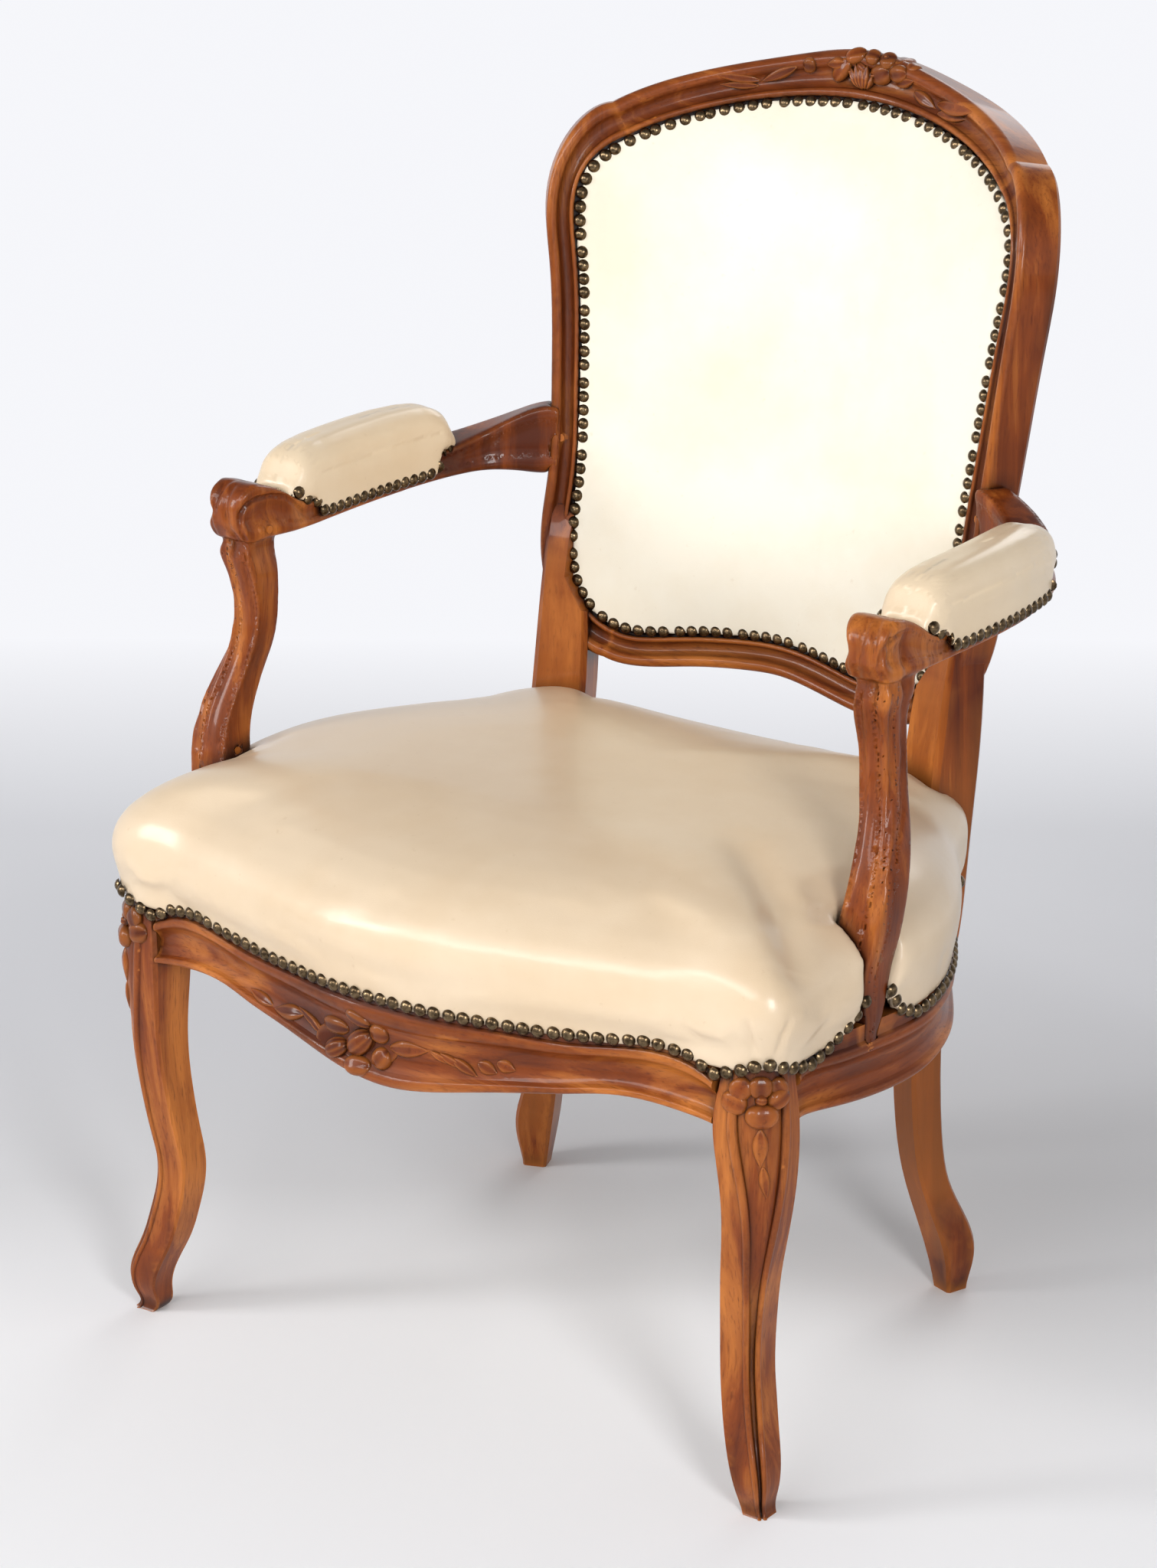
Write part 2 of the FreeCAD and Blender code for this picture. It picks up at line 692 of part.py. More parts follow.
def side_rear_tongue(loose=0.0):
    across = size("post_across") + size("tenon_thickness") / 2
    behind = size("foot_behind") - size("post_side") * SIDE_TENON_SHARE
    return tongue(Vector(across, behind, RAIL_MIDDLE), BEHIND, UP, loose)


def back_rail_tongue(loose=0.0):
    across = size("post_across") - size("post_side") / 2
    return tongue(Vector(across, BACK_RAIL_MIDDLE, RAIL_MIDDLE), ACROSS, UP, loose)


def arm_tongue(loose=0.0):
    middle = on_outline(ARM_JOINT, size("stile_width"), size("frame_depth") / 2)
    return tongue(middle, frame_outward(ARM_JOINT), UP, loose, ARM_TENON_SHARE)


def support_top():
    return support_middle(*SUPPORT_SHARES[-1][:3])


def support_tongue(loose=0.0):
    return tongue(support_top(), UP, BEHIND, loose, SUPPORT_TENON_SHARE)


# Pegs through the tenons: this share of a peg's diameter from a tenon's middle, or past it
PEG_SHARE = 1.3
PEG_REACH = size("peg_diameter") * PEG_SHARE
STILE_PEG_SHARES = (0.02, 0.8)


def front_peg():
    across = JOINT_ACROSS + size("tenon_length") / 2
    height = RAIL_MIDDLE - PEG_REACH
    end = -BLOCK_FACE + HALF_RAIL - PEG_REACH
    return rod(Vector(across, BLOCK_BACK, height), Vector(across, end, height), size("peg_diameter"))


def side_peg():
    behind = BLOCK_BACK - size("tenon_length") / 2
    height = RAIL_MIDDLE + PEG_REACH
    end = BLOCK_OUTSIDE - HALF_RAIL + PEG_REACH
    return rod(Vector(JOINT_ACROSS, behind, height), Vector(end, behind, height), size("peg_diameter"))


def volute_peg():
    """Through the front end of the arm from inside, where it shows in the eye of the scroll."""
    top = support_top() + UP * PEG_REACH
    return rod(top - ACROSS * (size("arm_width") / 2), top + ACROSS * PEG_REACH, size("peg_diameter"))


def stile_peg():
    out = size("stile_width") - PEG_REACH
    start, end = [on_outline(ARM_JOINT, out, share * size("frame_depth")) for share in STILE_PEG_SHARES]
    return rod(start, end, size("peg_diameter"))


PLUG_PLACE_SHARES = (0.32, 0.14, -0.19)
PLUG_START_SHARE = 0.485
PLUG_DEPTH_SHARE = 0.3


def support_plug():
    """A wooden plug in the inner face of the arm support, just above the seat."""
    inner = support_middle(*PLUG_PLACE_SHARES) - ACROSS * (size("support_side") * PLUG_START_SHARE)
    return rod(inner, inner + ACROSS * (size("support_side") * PLUG_DEPTH_SHARE), size("peg_diameter"))


# Corner braces of the seat, sawn to fit between the rails, with two screws each
BRACE_LIFT_SHARE = 0.25
BRACE_MIDDLE = WEB_TOP + size("brace_height") * (0.5 + BRACE_LIFT_SHARE)
BRACE_GAP = size("clearance") * 8
SCREW_SPREAD_SHARE = 0.145
REAR_BRACE_TURN = 30.0


def front_brace_place():
    """Middle of the brace, the way it runs, and the way from it to the leg."""
    along = (ACROSS + BEHIND).normalize()
    outward = (ACROSS - BEHIND).normalize()
    corner = Vector(JOINT_ACROSS, BLOCK_BACK, BRACE_MIDDLE)
    return corner - outward * (BRACE_GAP + size("brace_width") / 2), along, outward


def rear_brace_place():
    turn = Rotation(UP, -REAR_BRACE_TURN)
    corner = Vector(
        size("post_across") - size("post_side") / 2,
        size("foot_behind") - size("post_side") * SIDE_TENON_SHARE,
        BRACE_MIDDLE,
    )
    outward = turn.multVec(BEHIND)
    inward = outward * (size("brace_width") * SIDE_TENON_SHARE)
    return corner + ACROSS * (size("post_side") / 2) - inward, turn.multVec(ACROSS), outward


def brace(place, length):
    middle, along, outward = place
    return board(middle, along, outward, length, size("brace_width"), size("brace_height"))


def brace_screw_runs(place, length, lean):
    """Start and direction of the screw into each rail; lean is in degrees from the brace's run."""
    middle, along, outward = place
    face = middle - outward * (size("brace_width") / 2)
    spread = along * (length * SCREW_SPREAD_SHARE)
    turned = math.radians(lean)
    rise = outward * math.sin(turned)
    return [
        (face + spread, rise + along * math.cos(turned)),
        (face - spread, rise - along * math.cos(turned)),
    ]


FRONT_SCREW_LEAN = 45.0
REAR_SCREW_LEAN = 60.0
front_screws = brace_screw_runs(front_brace_place(), size("front_brace"), FRONT_SCREW_LEAN)
rear_screws = brace_screw_runs(rear_brace_place(), size("rear_brace"), REAR_SCREW_LEAN)


# Fasteners, each made once about +Z and then set in place

def nail_blank():
    """A dome-headed upholstery nail; its head sits on z = 0."""
    half = "sizes.nail_head / 2"
    ball = "(sizes.nail_dome ^ 2 + (sizes.nail_head / 2) ^ 2) / (2 * sizes.nail_dome)"
    dome = bound("Part::Sphere", "nail_dome", Radius=ball)
    dome.setExpression("Angle1", "acos(%s / (%s))" % (half, ball))
    dome.setExpression("Placement.Base.z", "sizes.nail_dome - %s" % ball)
    shank = bound("Part::Cylinder", "nail_shank", Radius="sizes.nail_shank / 2", Height="sizes.nail_length")
    shank.setExpression("Placement.Base.z", "-sizes.nail_length")
    nail = doc.addObject("Part::MultiFuse", "nail_blank")
    nail.Shapes = [dome, shank]
    return nail


def headed_blank(name, head, head_height, shank, length):
    """A flat-headed screw or tack along -Z, its head flush with z = 0."""
    cone = bound("Part::Cone", name + "_head", Radius1=shank, Radius2=head, Height=head_height)
    cone.setExpression("Placement.Base.z", "-(%s)" % head_height)
    stem = bound("Part::Cylinder", name + "_stem", Radius=shank, Height=length)
    stem.setExpression("Placement.Base.z", "-(%s)" % length)
    blank = doc.addObject("Part::MultiFuse", name + "_blank")
    blank.Shapes = [cone, stem]
    return blank


nail = nail_blank()
screw = headed_blank(
    "screw",
    "sizes.screw_head / 2",
    "sizes.screw_diameter / 2",
    "sizes.screw_diameter / 2",
    "sizes.screw_length",
)
tack = headed_blank(
    "tack", "sizes.tack_head / 2", "sizes.nail_shank / 2", "sizes.nail_shank / 2", "sizes.tack_length"
)
doc.recompute()


def driven(blank, place, outward):
    """A copy of a fastener with its head at this place, facing this way."""
    copy = blank.Shape.copy()
    copy.Placement = Placement(place, Rotation(UP, outward))
    return copy


def screw_copies(runs):
    return [driven(screw, start, run * -1) for start, run in runs]


def group(label, shapes):
    return keep(label, Part.Compound(shapes))


# The wooden frame

STILE_STATIONS = 15
CREST_STATIONS = 17
LOWER_STATIONS = 9


def knee_rebate():
    """What the leather takes from the outside of the right front leg's top."""
    low = hem_height() - size("clearance")
    room = 2 * size("leg_block")
    middle = Vector(size("seat_half_width"), -size("seat_front"), low + room / 2)
    block = board(middle, UP, ACROSS, room, room, room)
    inner = SKIN_SHARES[0][0] * size("seat_half_width") - size("leather")
    core = loft([seat_ring(inner, low - room), seat_ring(inner, low + 2 * room)], straight=True)
    return block.cut(core)


def both(shape):
    return [shape, mirrored(shape)]


def build_frame():
    fit = size("clearance")
    post = rear_post()
    stile = member(LOWER_JOINT, CREST_JOINT, STILE_STATIONS).fuse(largest(post.cut(back_room())))
    arm_peg = volute_peg()

    leg_blank = front_leg()
    leg = leg_blank.cut([front_tongue(fit), side_front_tongue(fit), front_peg(), side_peg()])
    keep_pair("front_leg", leg.cut(knee_rebate()))

    mortises = [frame_tongue(LOWER_JOINT, fit), side_rear_tongue(fit), back_rail_tongue(fit), arm_tongue(fit)]
    rear = stile.cut(mortises + [stile_peg()])
    keep_pair("rear_leg", largest(rear.fuse(frame_tongue(CREST_JOINT))))

    screws = screw_copies(front_screws[1:])
    front = largest(front_seat_rail().cut(both(leg_blank))).fuse(both(front_tongue()))
    keep("front_seat_rail", front.cut(both(front_peg()) + both(screws[0])))

    arm_blank = arm()
    support = largest(arm_support().cut(arm_blank)).fuse(support_tongue()).cut([arm_peg, support_plug()])
    keep_pair("arm_support", support)

    side = largest(side_seat_rail().cut([arm_support(), post, leg_blank]))
    side = side.fuse([side_front_tongue(), side_rear_tongue().common(post)])
    side = side.cut([side_peg()] + screw_copies([front_screws[0], rear_screws[0]]))
    keep_pair("side_seat_rail", largest(side))

    crest = largest(member(CREST_JOINT, 2 * CREST_MIDDLE - CREST_JOINT, CREST_STATIONS).cut(back_room()))
    keep("crest_rail", crest.cut(both(frame_tongue(CREST_JOINT, fit))))
    lower = largest(member(-LOWER_JOINT, LOWER_JOINT, LOWER_STATIONS).cut(back_room()))
    keep("lower_back_rail", lower.fuse(both(frame_tongue(LOWER_JOINT))))

    whole_arm = arm_blank.cut([stile, support_tongue(fit), arm_peg])
    whole_arm = largest(whole_arm).fuse(arm_tongue().common(stile)).cut(stile_peg())
    keep_pair("arm", whole_arm)
    return post


def back_seat_rail(post):
    """The straight rail between the rear posts."""
    body = doc.addObject("PartDesign::Body", "back_rail_blank")
    flat_plane = next(item for item in body.Origin.OriginFeatures if item.Role == "XY_Plane")
    sketch = body.newObject("Sketcher::SketchObject", "back_rail_plan")
    sketch.AttachmentSupport = (flat_plane, [""])
    sketch.MapMode = "FlatFace"
    corners = [Vector(-1, -1, 0), Vector(1, -1, 0), Vector(1, 1, 0), Vector(-1, 1, 0)]
    for start, end in zip(corners, corners[1:] + corners[:1]):
        sketch.addGeometry(Part.LineSegment(start * HALF_RAIL, end * HALF_RAIL))
    for side in range(4):
        sketch.addConstraint(Sketcher.Constraint("Coincident", side, 2, (side + 1) % 4, 1))
        sketch.addConstraint(Sketcher.Constraint("Vertical" if side % 2 else "Horizontal", side))
    sketch.addConstraint(Sketcher.Constraint("Symmetric", 0, 1, 1, 2, -1, 1))
    length = sketch.addConstraint(Sketcher.Constraint("DistanceX", 0, 1, 0, 2, 2 * JOINT_ACROSS))
    width = sketch.addConstraint(Sketcher.Constraint("DistanceY", 1, 1, 1, 2, size("rail_thickness")))
    half = "sizes.post_across - sizes.post_side * %s" % BACK_RAIL_HALF_SHARE
    sketch.setExpression("Constraints[%d]" % length, "2 * (%s)" % half)
    sketch.setExpression("Constraints[%d]" % width, "sizes.rail_thickness")
    pad = body.newObject("PartDesign::Pad", "back_rail_pad")
    pad.Profile = sketch
    pad.setExpression("Length", "sizes.rail_height * %s" % BACK_RAIL_HEIGHT_SHARE)
    body.Placement = Placement(Vector(0, BACK_RAIL_MIDDLE, WEB_TOP), Rotation())
    posts = doc.addObject("Part::Feature", "post_blanks")
    posts.Shape = Part.Compound(both(post) + both(screw_copies(rear_screws[1:])[0]))
    fitted = doc.addObject("Part::Cut", "back_rail_fitted")
    fitted.Base = body
    fitted.Tool = posts
    tenons = doc.addObject("Part::Feature", "back_rail_tenons")
    tenons.Shape = Part.Compound(both(back_rail_tongue()))
    rail = doc.addObject("Part::MultiFuse", "back_seat_rail")
    rail.Label = "back_seat_rail"
    rail.Shapes = [fitted, tenons]
    parts.append(rail)


def braces(frame):
    """Corner braces cut to the rails, legs and posts around them."""
    solids = {feature.Label: feature.Shape for feature in frame}
    front = brace(front_brace_place(), size("front_brace"))
    front = front.cut([solids["front_seat_rail"], solids["side_seat_rail_right"], solids["front_leg_right"]])
    keep_pair("front_corner_brace", largest(front.cut(screw_copies(front_screws))))
    rear = brace(rear_brace_place(), size("rear_brace"))
    rear = rear.cut([solids["back_seat_rail"], solids["side_seat_rail_right"], solids["rear_leg_right"]])
    keep_pair("rear_corner_brace", largest(rear.cut(screw_copies(rear_screws))))
    right = screw_copies(front_screws + rear_screws)
    group("brace_screws", right + [mirrored(copy) for copy in right])


def pegs():
    right = [front_peg(), side_peg(), volute_peg(), stile_peg()]
    group("joint_pegs", right + [mirrored(peg) for peg in right])
    group("support_plugs", both(support_plug()))


# Seat: its plan follows the outsides of the rails

PLAN_MIDDLE_SHARE = 0.25
KNEE_INSET_SHARE = 0.12
SEAT_MIDDLE = Vector(0, -size("seat_front") * PLAN_MIDDLE_SHARE, 0)


def seat_plan():
    """The outside of the seat frame, once round from the middle of the front."""
    front = [face for face, lift, height in front_rail_points()]
    front = front[len(front) // 2 : -1]
    inset = size("leg_block") * KNEE_INSET_SHARE
    corner = Vector(BLOCK_OUTSIDE - inset, -BLOCK_FACE + inset, 0)
    side = [face for face, lift, height in side_rail_points()][1:-1]
    outside = size("post_across") + size("post_side") / 2 + size("clearance")
    rear = BACK_RAIL_REAR + size("rail_rebate")
    back = [
        Vector(outside, size("foot_behind"), 0),
        Vector(size("post_across"), rear, 0),
        Vector(size("post_across") / 2, rear, 0),
    ]
    right = front + [corner] + side + back
    left = [Vector(-point.x, point.y, 0) for point in reversed(right[1:])]
    curve = Part.BSplineCurve()
    curve.interpolate(Points=right + [Vector(0, rear, 0)] + left, PeriodicFlag=True)
    return curve, corner


plan, KNEE = seat_plan()


def on_seat(along, grow, height):
    """A point at this height, this far outside the seat frame."""
    point = plan.value(along)
    return point + (point - SEAT_MIDDLE).normalize() * grow + UP * height


RING_STATIONS = 48


def seat_ring(grow, height):
    last = plan.LastParameter
    curve = Part.BSplineCurve()
    curve.interpolate(
        Points=[on_seat(last * i / RING_STATIONS, grow, height) for i in range(RING_STATIONS)],
        PeriodicFlag=True,
    )
    return Part.Wire([curve.toShape()])


def seat_prism(grow, low, high):
    return loft([seat_ring(grow, low), seat_ring(grow, high)], straight=True)


# The seat's leather from its hem up: outward of the frame as a share of its half width, and height
# as a share of the way from the nails to the crown
SKIN_SHARES = (
    (-0.004, -0.06), (-0.002, 0.08), (0.008, 0.16), (0.026, 0.30), (0.024, 0.46), (-0.008, 0.62),
    (-0.08, 0.76), (-0.20, 0.88), (-0.37, 0.96), (-0.58, 1.0),
)
SKIN_RINGS = 13
ROUNDED_SHARES = (0.3, 0.8)


def hem_height():
    return between(size("nail_height"), size("seat_crown"), SKIN_SHARES[0][1])


def seat_dome(inset, lowest=None):
    """The seat as one solid, this far inside the outside of its leather."""
    profile = smooth_line([Vector(out, 0, up) for out, up in SKIN_SHARES])
    start, end = ROUNDED_SHARES
    wires = []
    for number in range(SKIN_RINGS):
        step = between(profile.FirstParameter, profile.LastParameter, number / (SKIN_RINGS - 1))
        share = profile.value(step)
        height = between(size("nail_height"), size("seat_crown"), share.z)
        height -= inset * eased((share.z - start) / (end - start))
        if lowest is not None and number == 0:
            height = lowest
        wires.append(seat_ring(share.x * size("seat_half_width") - inset, height))
    return loft(wires, straight=True)


# The hessian over the springs: outward of the frame as a share of its half width, and height as a
# share of the way from the nails to the tops of the springs
HESSIAN_SHARES = ((-0.06, 0.32), (-0.15, 0.50), (-0.28, 0.99), (-0.62, 1.0))
SPRING_TOP = WEB_TOP + size("spring_height")
LOW = WEB_TOP - size("rail_height") / 2
HIGHEST_LIFT = max(lift for across, bow, lift, height in FRONT_RAIL_SHARES)


def hessian_pan(lift, spread=0.0):
    """Everything below the top of the hessian."""
    rings = [seat_ring(HESSIAN_SHARES[0][0] * size("seat_half_width") + spread, LOW)]
    for out, up in HESSIAN_SHARES:
        height = between(size("nail_height"), SPRING_TOP + size("clearance"), up)
        rings.append(seat_ring(out * size("seat_half_width") + spread, height + lift))
    return loft(rings, straight=True)


NOTCH_ROOM = 5 * size("clearance")
SUPPORT_NOTCH_STATIONS = 8
POST_NOTCH_STATIONS = 4


def box_wire(middle, facing, left, right, half):
    corners = [(left, -half), (right, -half), (right, half), (left, half)]
    return closed_wire(lambda out, back: middle + facing.multVec(Vector(out, back, 0)), corners)


def support_notch():
    """Room for the foot of the arm support in the leather and stuffing."""
    side = size("support_side")
    wires = []
    for up, across, forward, wide, deep in SUPPORT_SHARES[:SUPPORT_NOTCH_STATIONS]:
        middle = support_middle(up, across, forward)
        left = -wide * side / 2 - NOTCH_ROOM
        wires.append(box_wire(middle, Rotation(), left, side, deep * side / 2 + NOTCH_ROOM))
    return loft(wires, straight=True)


def post_notch():
    """Room for the rear post in the leather and stuffing."""
    wires = []
    for up, inward, forward, side in REAR_LEG_SHARES[-POST_NOTCH_STATIONS:]:
        half = side * size("post_side") / 2 + NOTCH_ROOM
        middle = post_middle(up, inward, forward)
        wires.append(box_wire(middle, Rotation(UP, -size("post_turn")), -half, half, half))
    return loft(wires, straight=True)


def seat_upholstery(rails):
    """Leather, stuffing and hessian over the springs; the hem ends on the rails' mouldings."""
    notches = both(support_notch()) + both(post_notch())
    fit = size("clearance")
    cover = largest(seat_dome(0).cut(seat_dome(size("leather"), LOW)).cut(notches)).cut(rails)
    keep("seat_cover", largest(cover))
    reach = 2 * BLOCK_OUTSIDE
    below = Part.makeBox(2 * reach, 2 * reach, rail_top(HIGHEST_LIFT) + fit, Vector(-reach, -reach, 0))
    stuffing = seat_dome(size("leather") + fit).cut([hessian_pan(0), below])
    keep("seat_stuffing", largest(stuffing.cut(notches)))
    under = hessian_pan(-fit - size("hessian"), fit)
    hessian = hessian_pan(-fit).cut(under)
    keep("seat_hessian", largest(hessian.cut(notches)))


# Webbing under the seat: straps from front to back are uppermost
CROSS_MIDDLE_SHARE = 0.20
CROSS_MIDDLE = -size("seat_front") * CROSS_MIDDLE_SHARE
STRAP_END_SHARE = 0.55
TACK_SHARES = (-0.3, 0.0, 0.3)


def rail_face(points, value, coordinate):
    """Where the outside of a rail is at this place, between its stations."""
    for (first, *rest), (second, *others) in zip(points, points[1:]):
        low, high = getattr(first, coordinate), getattr(second, coordinate)
        if low <= value <= high:
            return between(first, second, (value - low) / (high - low))
    raise ValueError("no rail at %s %.1f" % (coordinate, value))


def strap_end(face, inward):
    return face + inward * (size("rail_thickness") * STRAP_END_SHARE)


def straps():
    """Each strap's two ends on the undersides of the rails, with its height."""
    runs = []
    for step in (-1, 0, 1):
        across = step * size("strap_pitch")
        front = strap_end(rail_face(front_rail_points(), across, "x"), BEHIND)
        rear = Vector(across, BACK_RAIL_MIDDLE, 0)
        runs.append(("lengthwise", front, rear, WEB_TOP))
    for step in (-1, 0, 1):
        behind = CROSS_MIDDLE + step * size("cross_pitch")
        right = strap_end(rail_face(side_rail_points(), behind, "y"), ACROSS * -1)
        runs.append(("crosswise", Vector(-right.x, behind, 0), right, CROSS_TOP))
    return runs


def seat_webbing():
    strips = {"lengthwise": [], "crosswise": []}
    tacks = []
    for way, start, end, top in straps():
        run = end - start
        middle = (start + end) / 2 + UP * (top - size("web_thickness") / 2)
        side = run.cross(UP).normalize()
        strips[way].append(board(middle, run, side, run.Length, size("web_width"), size("web_thickness")))
        inward = run.normalize() * size("tack_head")
        for place in (start + inward, end - inward):
            for share in TACK_SHARES:
                head = place + side * (share * size("web_width")) + UP * (top - size("web_thickness"))
                tacks.append(driven(tack, head, UP * -1))
    for way, shapes in strips.items():
        group("seat_webbing_" + way, shapes)
    group("webbing_tacks", tacks)


def seat_springs():
    """Five coil springs on the straps."""
    coil = bound(
        "Part::Helix",
        "spring_line",
        Radius="sizes.spring_across / 2",
        Height="sizes.spring_height - sizes.spring_wire",
        Pitch="(sizes.spring_height - sizes.spring_wire) / sizes.spring_turns",
    )
    wire = bound("Part::Circle", "spring_wire", Radius="sizes.spring_wire / 2")
    wire.setExpression("Placement.Base.x", "sizes.spring_across / 2")
    wire.Placement.Rotation = Rotation(ACROSS, QUARTER_TURN)
    sweep = doc.addObject("Part::Sweep", "spring_blank")
    sweep.Sections = [wire]
    sweep.Spine = (coil, ["Edge1"])
    sweep.Solid = True
    sweep.Frenet = True
    doc.recompute()
    pitch, step = size("strap_pitch"), size("cross_pitch")
    copies = []
    for across, behind in ((-pitch, -step), (pitch, -step), (0, 0), (-pitch, step), (pitch, step)):
        copy = sweep.Shape.copy()
        bottom = WEB_TOP + size("spring_wire") / 2
        copy.Placement = Placement(Vector(across, CROSS_MIDDLE + behind, bottom), Rotation())
        copies.append(copy)
    group("seat_springs", copies)


CLOTH_EDGE_SHARE = 0.75


def bottom_cloth(post):
    """Dust cloth under the webbing, clear of the legs."""
    fit = size("clearance")
    top = CROSS_TOP - size("web_thickness") - fit
    edge = -size("rail_thickness") * CLOTH_EDGE_SHARE
    sheet = seat_prism(edge, top - size("hessian"), top)
    room = size("leg_block") + 2 * NOTCH_ROOM
    block = board(Vector(size("seat_half_width"), -size("seat_front"), top), UP, ACROSS, room, room, room)
    keep("bottom_cloth", largest(sheet.cut(both(block) + both(post))))


# Layers of the back, which follow its hollow

LAYER_STATIONS = 21
LAYER_SPOTS = 9
LAYER_SIDE_SHARE = 0.985


def outline_span(across):
    """Lowest and highest heights of the nail line at this distance from the middle."""
    reach = size("back_height") * 2
    line = Part.LineSegment(Vector(across, 0, -reach), Vector(across, 0, BACK_TOP + reach)).toShape()
    heights = sorted(pair[0].z for pair in outline.toShape().distToShape(line)[1])
    return heights[0], heights[-1]


def outline_reach(height):
    """How far the nail line is from the middle at this height."""
    held = min(max(height, size("back_bottom")), BACK_TOP)
    line = Part.LineSegment(Vector(0, 0, held), Vector(size("back_half_width") * 2, 0, held)).toShape()
    return max(pair[0].x for pair in outline.toShape().distToShape(line)[1])


def flat(depth):
    return lambda across, height: depth


# The higher, the flatter the middle of the back and the steeper its edges
CROWN_POWER = 4


def crowned(depth, crown):
    """A depth that swells forward between the nails."""

    side = size("back_half_width") * LAYER_SIDE_SHARE

    def at(across, height):
        low, high = outline_span(min(max(across, -side), side))
        sideways = across / max(outline_reach(height), 1)
        upward = (2 * height - low - high) / (high - low)
        swell = max(0.0, 1 - sideways**CROWN_POWER) * max(0.0, 1 - upward**CROWN_POWER)
        return depth - crown * swell

    return at


def layer_wire(across, low, high, front, rear):
    """One upright slice; front and rear give its depth behind the front face of the back."""
    heights = [between(low, high, share / (LAYER_SPOTS - 1)) for share in range(LAYER_SPOTS)]
    ahead = smooth_line([back_point(across, z, front(across, z)) for z in heights])
    behind = smooth_line([back_point(across, z, rear(across, z)) for z in heights])
    top = Part.LineSegment(ahead.EndPoint, behind.EndPoint)
    bottom = Part.LineSegment(behind.StartPoint, ahead.StartPoint)
    return Part.Wire([ahead.toShape(), top.toShape(), behind.toShape(), bottom.toShape()])


def back_layer(front, rear, margin):
    """A layer that reaches this far outside the nail line."""
    side = size("back_half_width") * LAYER_SIDE_SHARE
    scale = (side + margin) / side
    wires = []
    for number in range(LAYER_STATIONS):
        across = side * math.sin(math.pi * (number / (LAYER_STATIONS - 1) - 0.5))
        low, high = outline_span(across)
        wires.append(layer_wire(across * scale, low - margin, high + margin, front, rear))
    return loft(wires, straight=True)


BACK_WEB_SHARES = (-0.52, 0.0, 0.52)
BACK_CROSS_SHARES = (0.22, 0.5, 0.78)
BACK_CROWN_SHARE = 0.042
LEATHER_OVER_SHARE = 0.3


def back_room():
    """What the upholstery of the back takes from the posts, before and behind."""
    seam = size("clearance") / 3
    margin = size("nail_head") * LEATHER_OVER_SHARE + seam
    depth = size("frame_depth")
    return [
        back_layer(flat(-depth), flat(size("rebate_depth") - seam), margin),
        back_layer(flat(depth - size("rear_rebate") + seam), flat(2 * depth), margin),
    ]


# Between the layers of the back, and from the webbing to the edge of the rebate, in clearances
SEAM_SHARE = 1 / 6
INSIDE_SHARE = 5


def back_upholstery():
    """Webbing, hessian, stuffing and the two leathers, from the rebate forwards."""
    seam = size("clearance") * SEAM_SHARE
    inside = -size("clearance") * INSIDE_SHARE
    over = size("nail_head") * LEATHER_OVER_SHARE
    crown = size("back_height") * BACK_CROWN_SHARE
    web = size("web_thickness")
    reach = 2 * size("back_height")
    wide = size("back_web_width")
    floor = size("rebate_depth") - seam
    upright = back_layer(flat(floor - web), flat(floor), inside)
    strips = []
    for share in BACK_WEB_SHARES:
        left = share * size("back_half_width") - wide / 2
        corner = Vector(left, 0, size("arm_bottom") - reach / 2)
        strips.append(upright.common(Part.makeBox(wide, reach, reach, corner)))
    group("back_webbing_upright", strips)
    floor -= web + seam
    level = back_layer(flat(floor - web), flat(floor), inside)
    strips = []
    for share in BACK_CROSS_SHARES:
        low = size("back_bottom") + share * size("back_height") - wide / 2
        strips.append(level.common(Part.makeBox(reach, reach, wide, Vector(-reach / 2, 0, low))))
    group("back_webbing_crosswise", strips)
    floor -= web + seam
    keep("back_hessian", back_layer(flat(floor - size("hessian")), flat(floor), inside))
    floor -= size("hessian") + seam
    stuffing = back_layer(crowned(floor - seam, crown), flat(floor), inside)
    floor -= 2 * seam
    front = back_layer(crowned(floor - size("leather"), crown), crowned(floor, crown), over)
    keep("back_stuffing", largest(stuffing.cut(front)))
    keep("back_cover_front", front)
    rear = size("frame_depth") - size("rear_rebate") + seam
    keep("back_cover_rear", back_layer(flat(rear), flat(rear + size("leather")), over))
    return floor - size("leather"), rear + size("leather")


# Arm pads: along the pad, then width and height as shares of the pad's
PAD_SHARES = (
    (0.0, 0.74, 0.30), (0.05, 0.90, 0.70), (0.14, 1.0, 0.92), (0.35, 1.0, 1.0), (0.65, 0.98, 1.0),
    (0.86, 0.94, 0.92), (0.95, 0.84, 0.70), (1.0, 0.70, 0.30),
)
PAD_SECTION_SHARES = (
    (-0.94, 0.0), (0.94, 0.0), (1.0, 0.22, 0.96, 0.45), (0.74, 0.86, 0.0, 1.0), (-0.74, 0.86, -0.96, 0.45),
    (-1.0, 0.22, -0.94, 0.0),
)
# The leather over the pad: along the pad, width and height as the pad's, and how far it comes down
# the sides of the arm as a share of the way to its hem
COVER_SHARES = (
    (-0.02, 0.70, 0.08, 0.0), (0.0, 0.80, 0.34, 0.0), (0.05, 0.94, 0.74, 0.0), (0.09, 1.0, 0.86, 0.0),
    (0.15, 1.0, 0.95, 1.0), (0.25, 1.0, 0.99, 1.0), (0.38, 1.0, 1.0, 1.0), (0.52, 1.0, 1.0, 1.0),
    (0.65, 0.99, 1.0, 1.0), (0.78, 0.97, 0.97, 1.0), (0.86, 0.95, 0.92, 1.0), (0.91, 0.92, 0.84, 0.0),
    (0.95, 0.86, 0.74, 0.0), (1.0, 0.74, 0.34, 0.0), (1.02, 0.64, 0.08, 0.0),
)
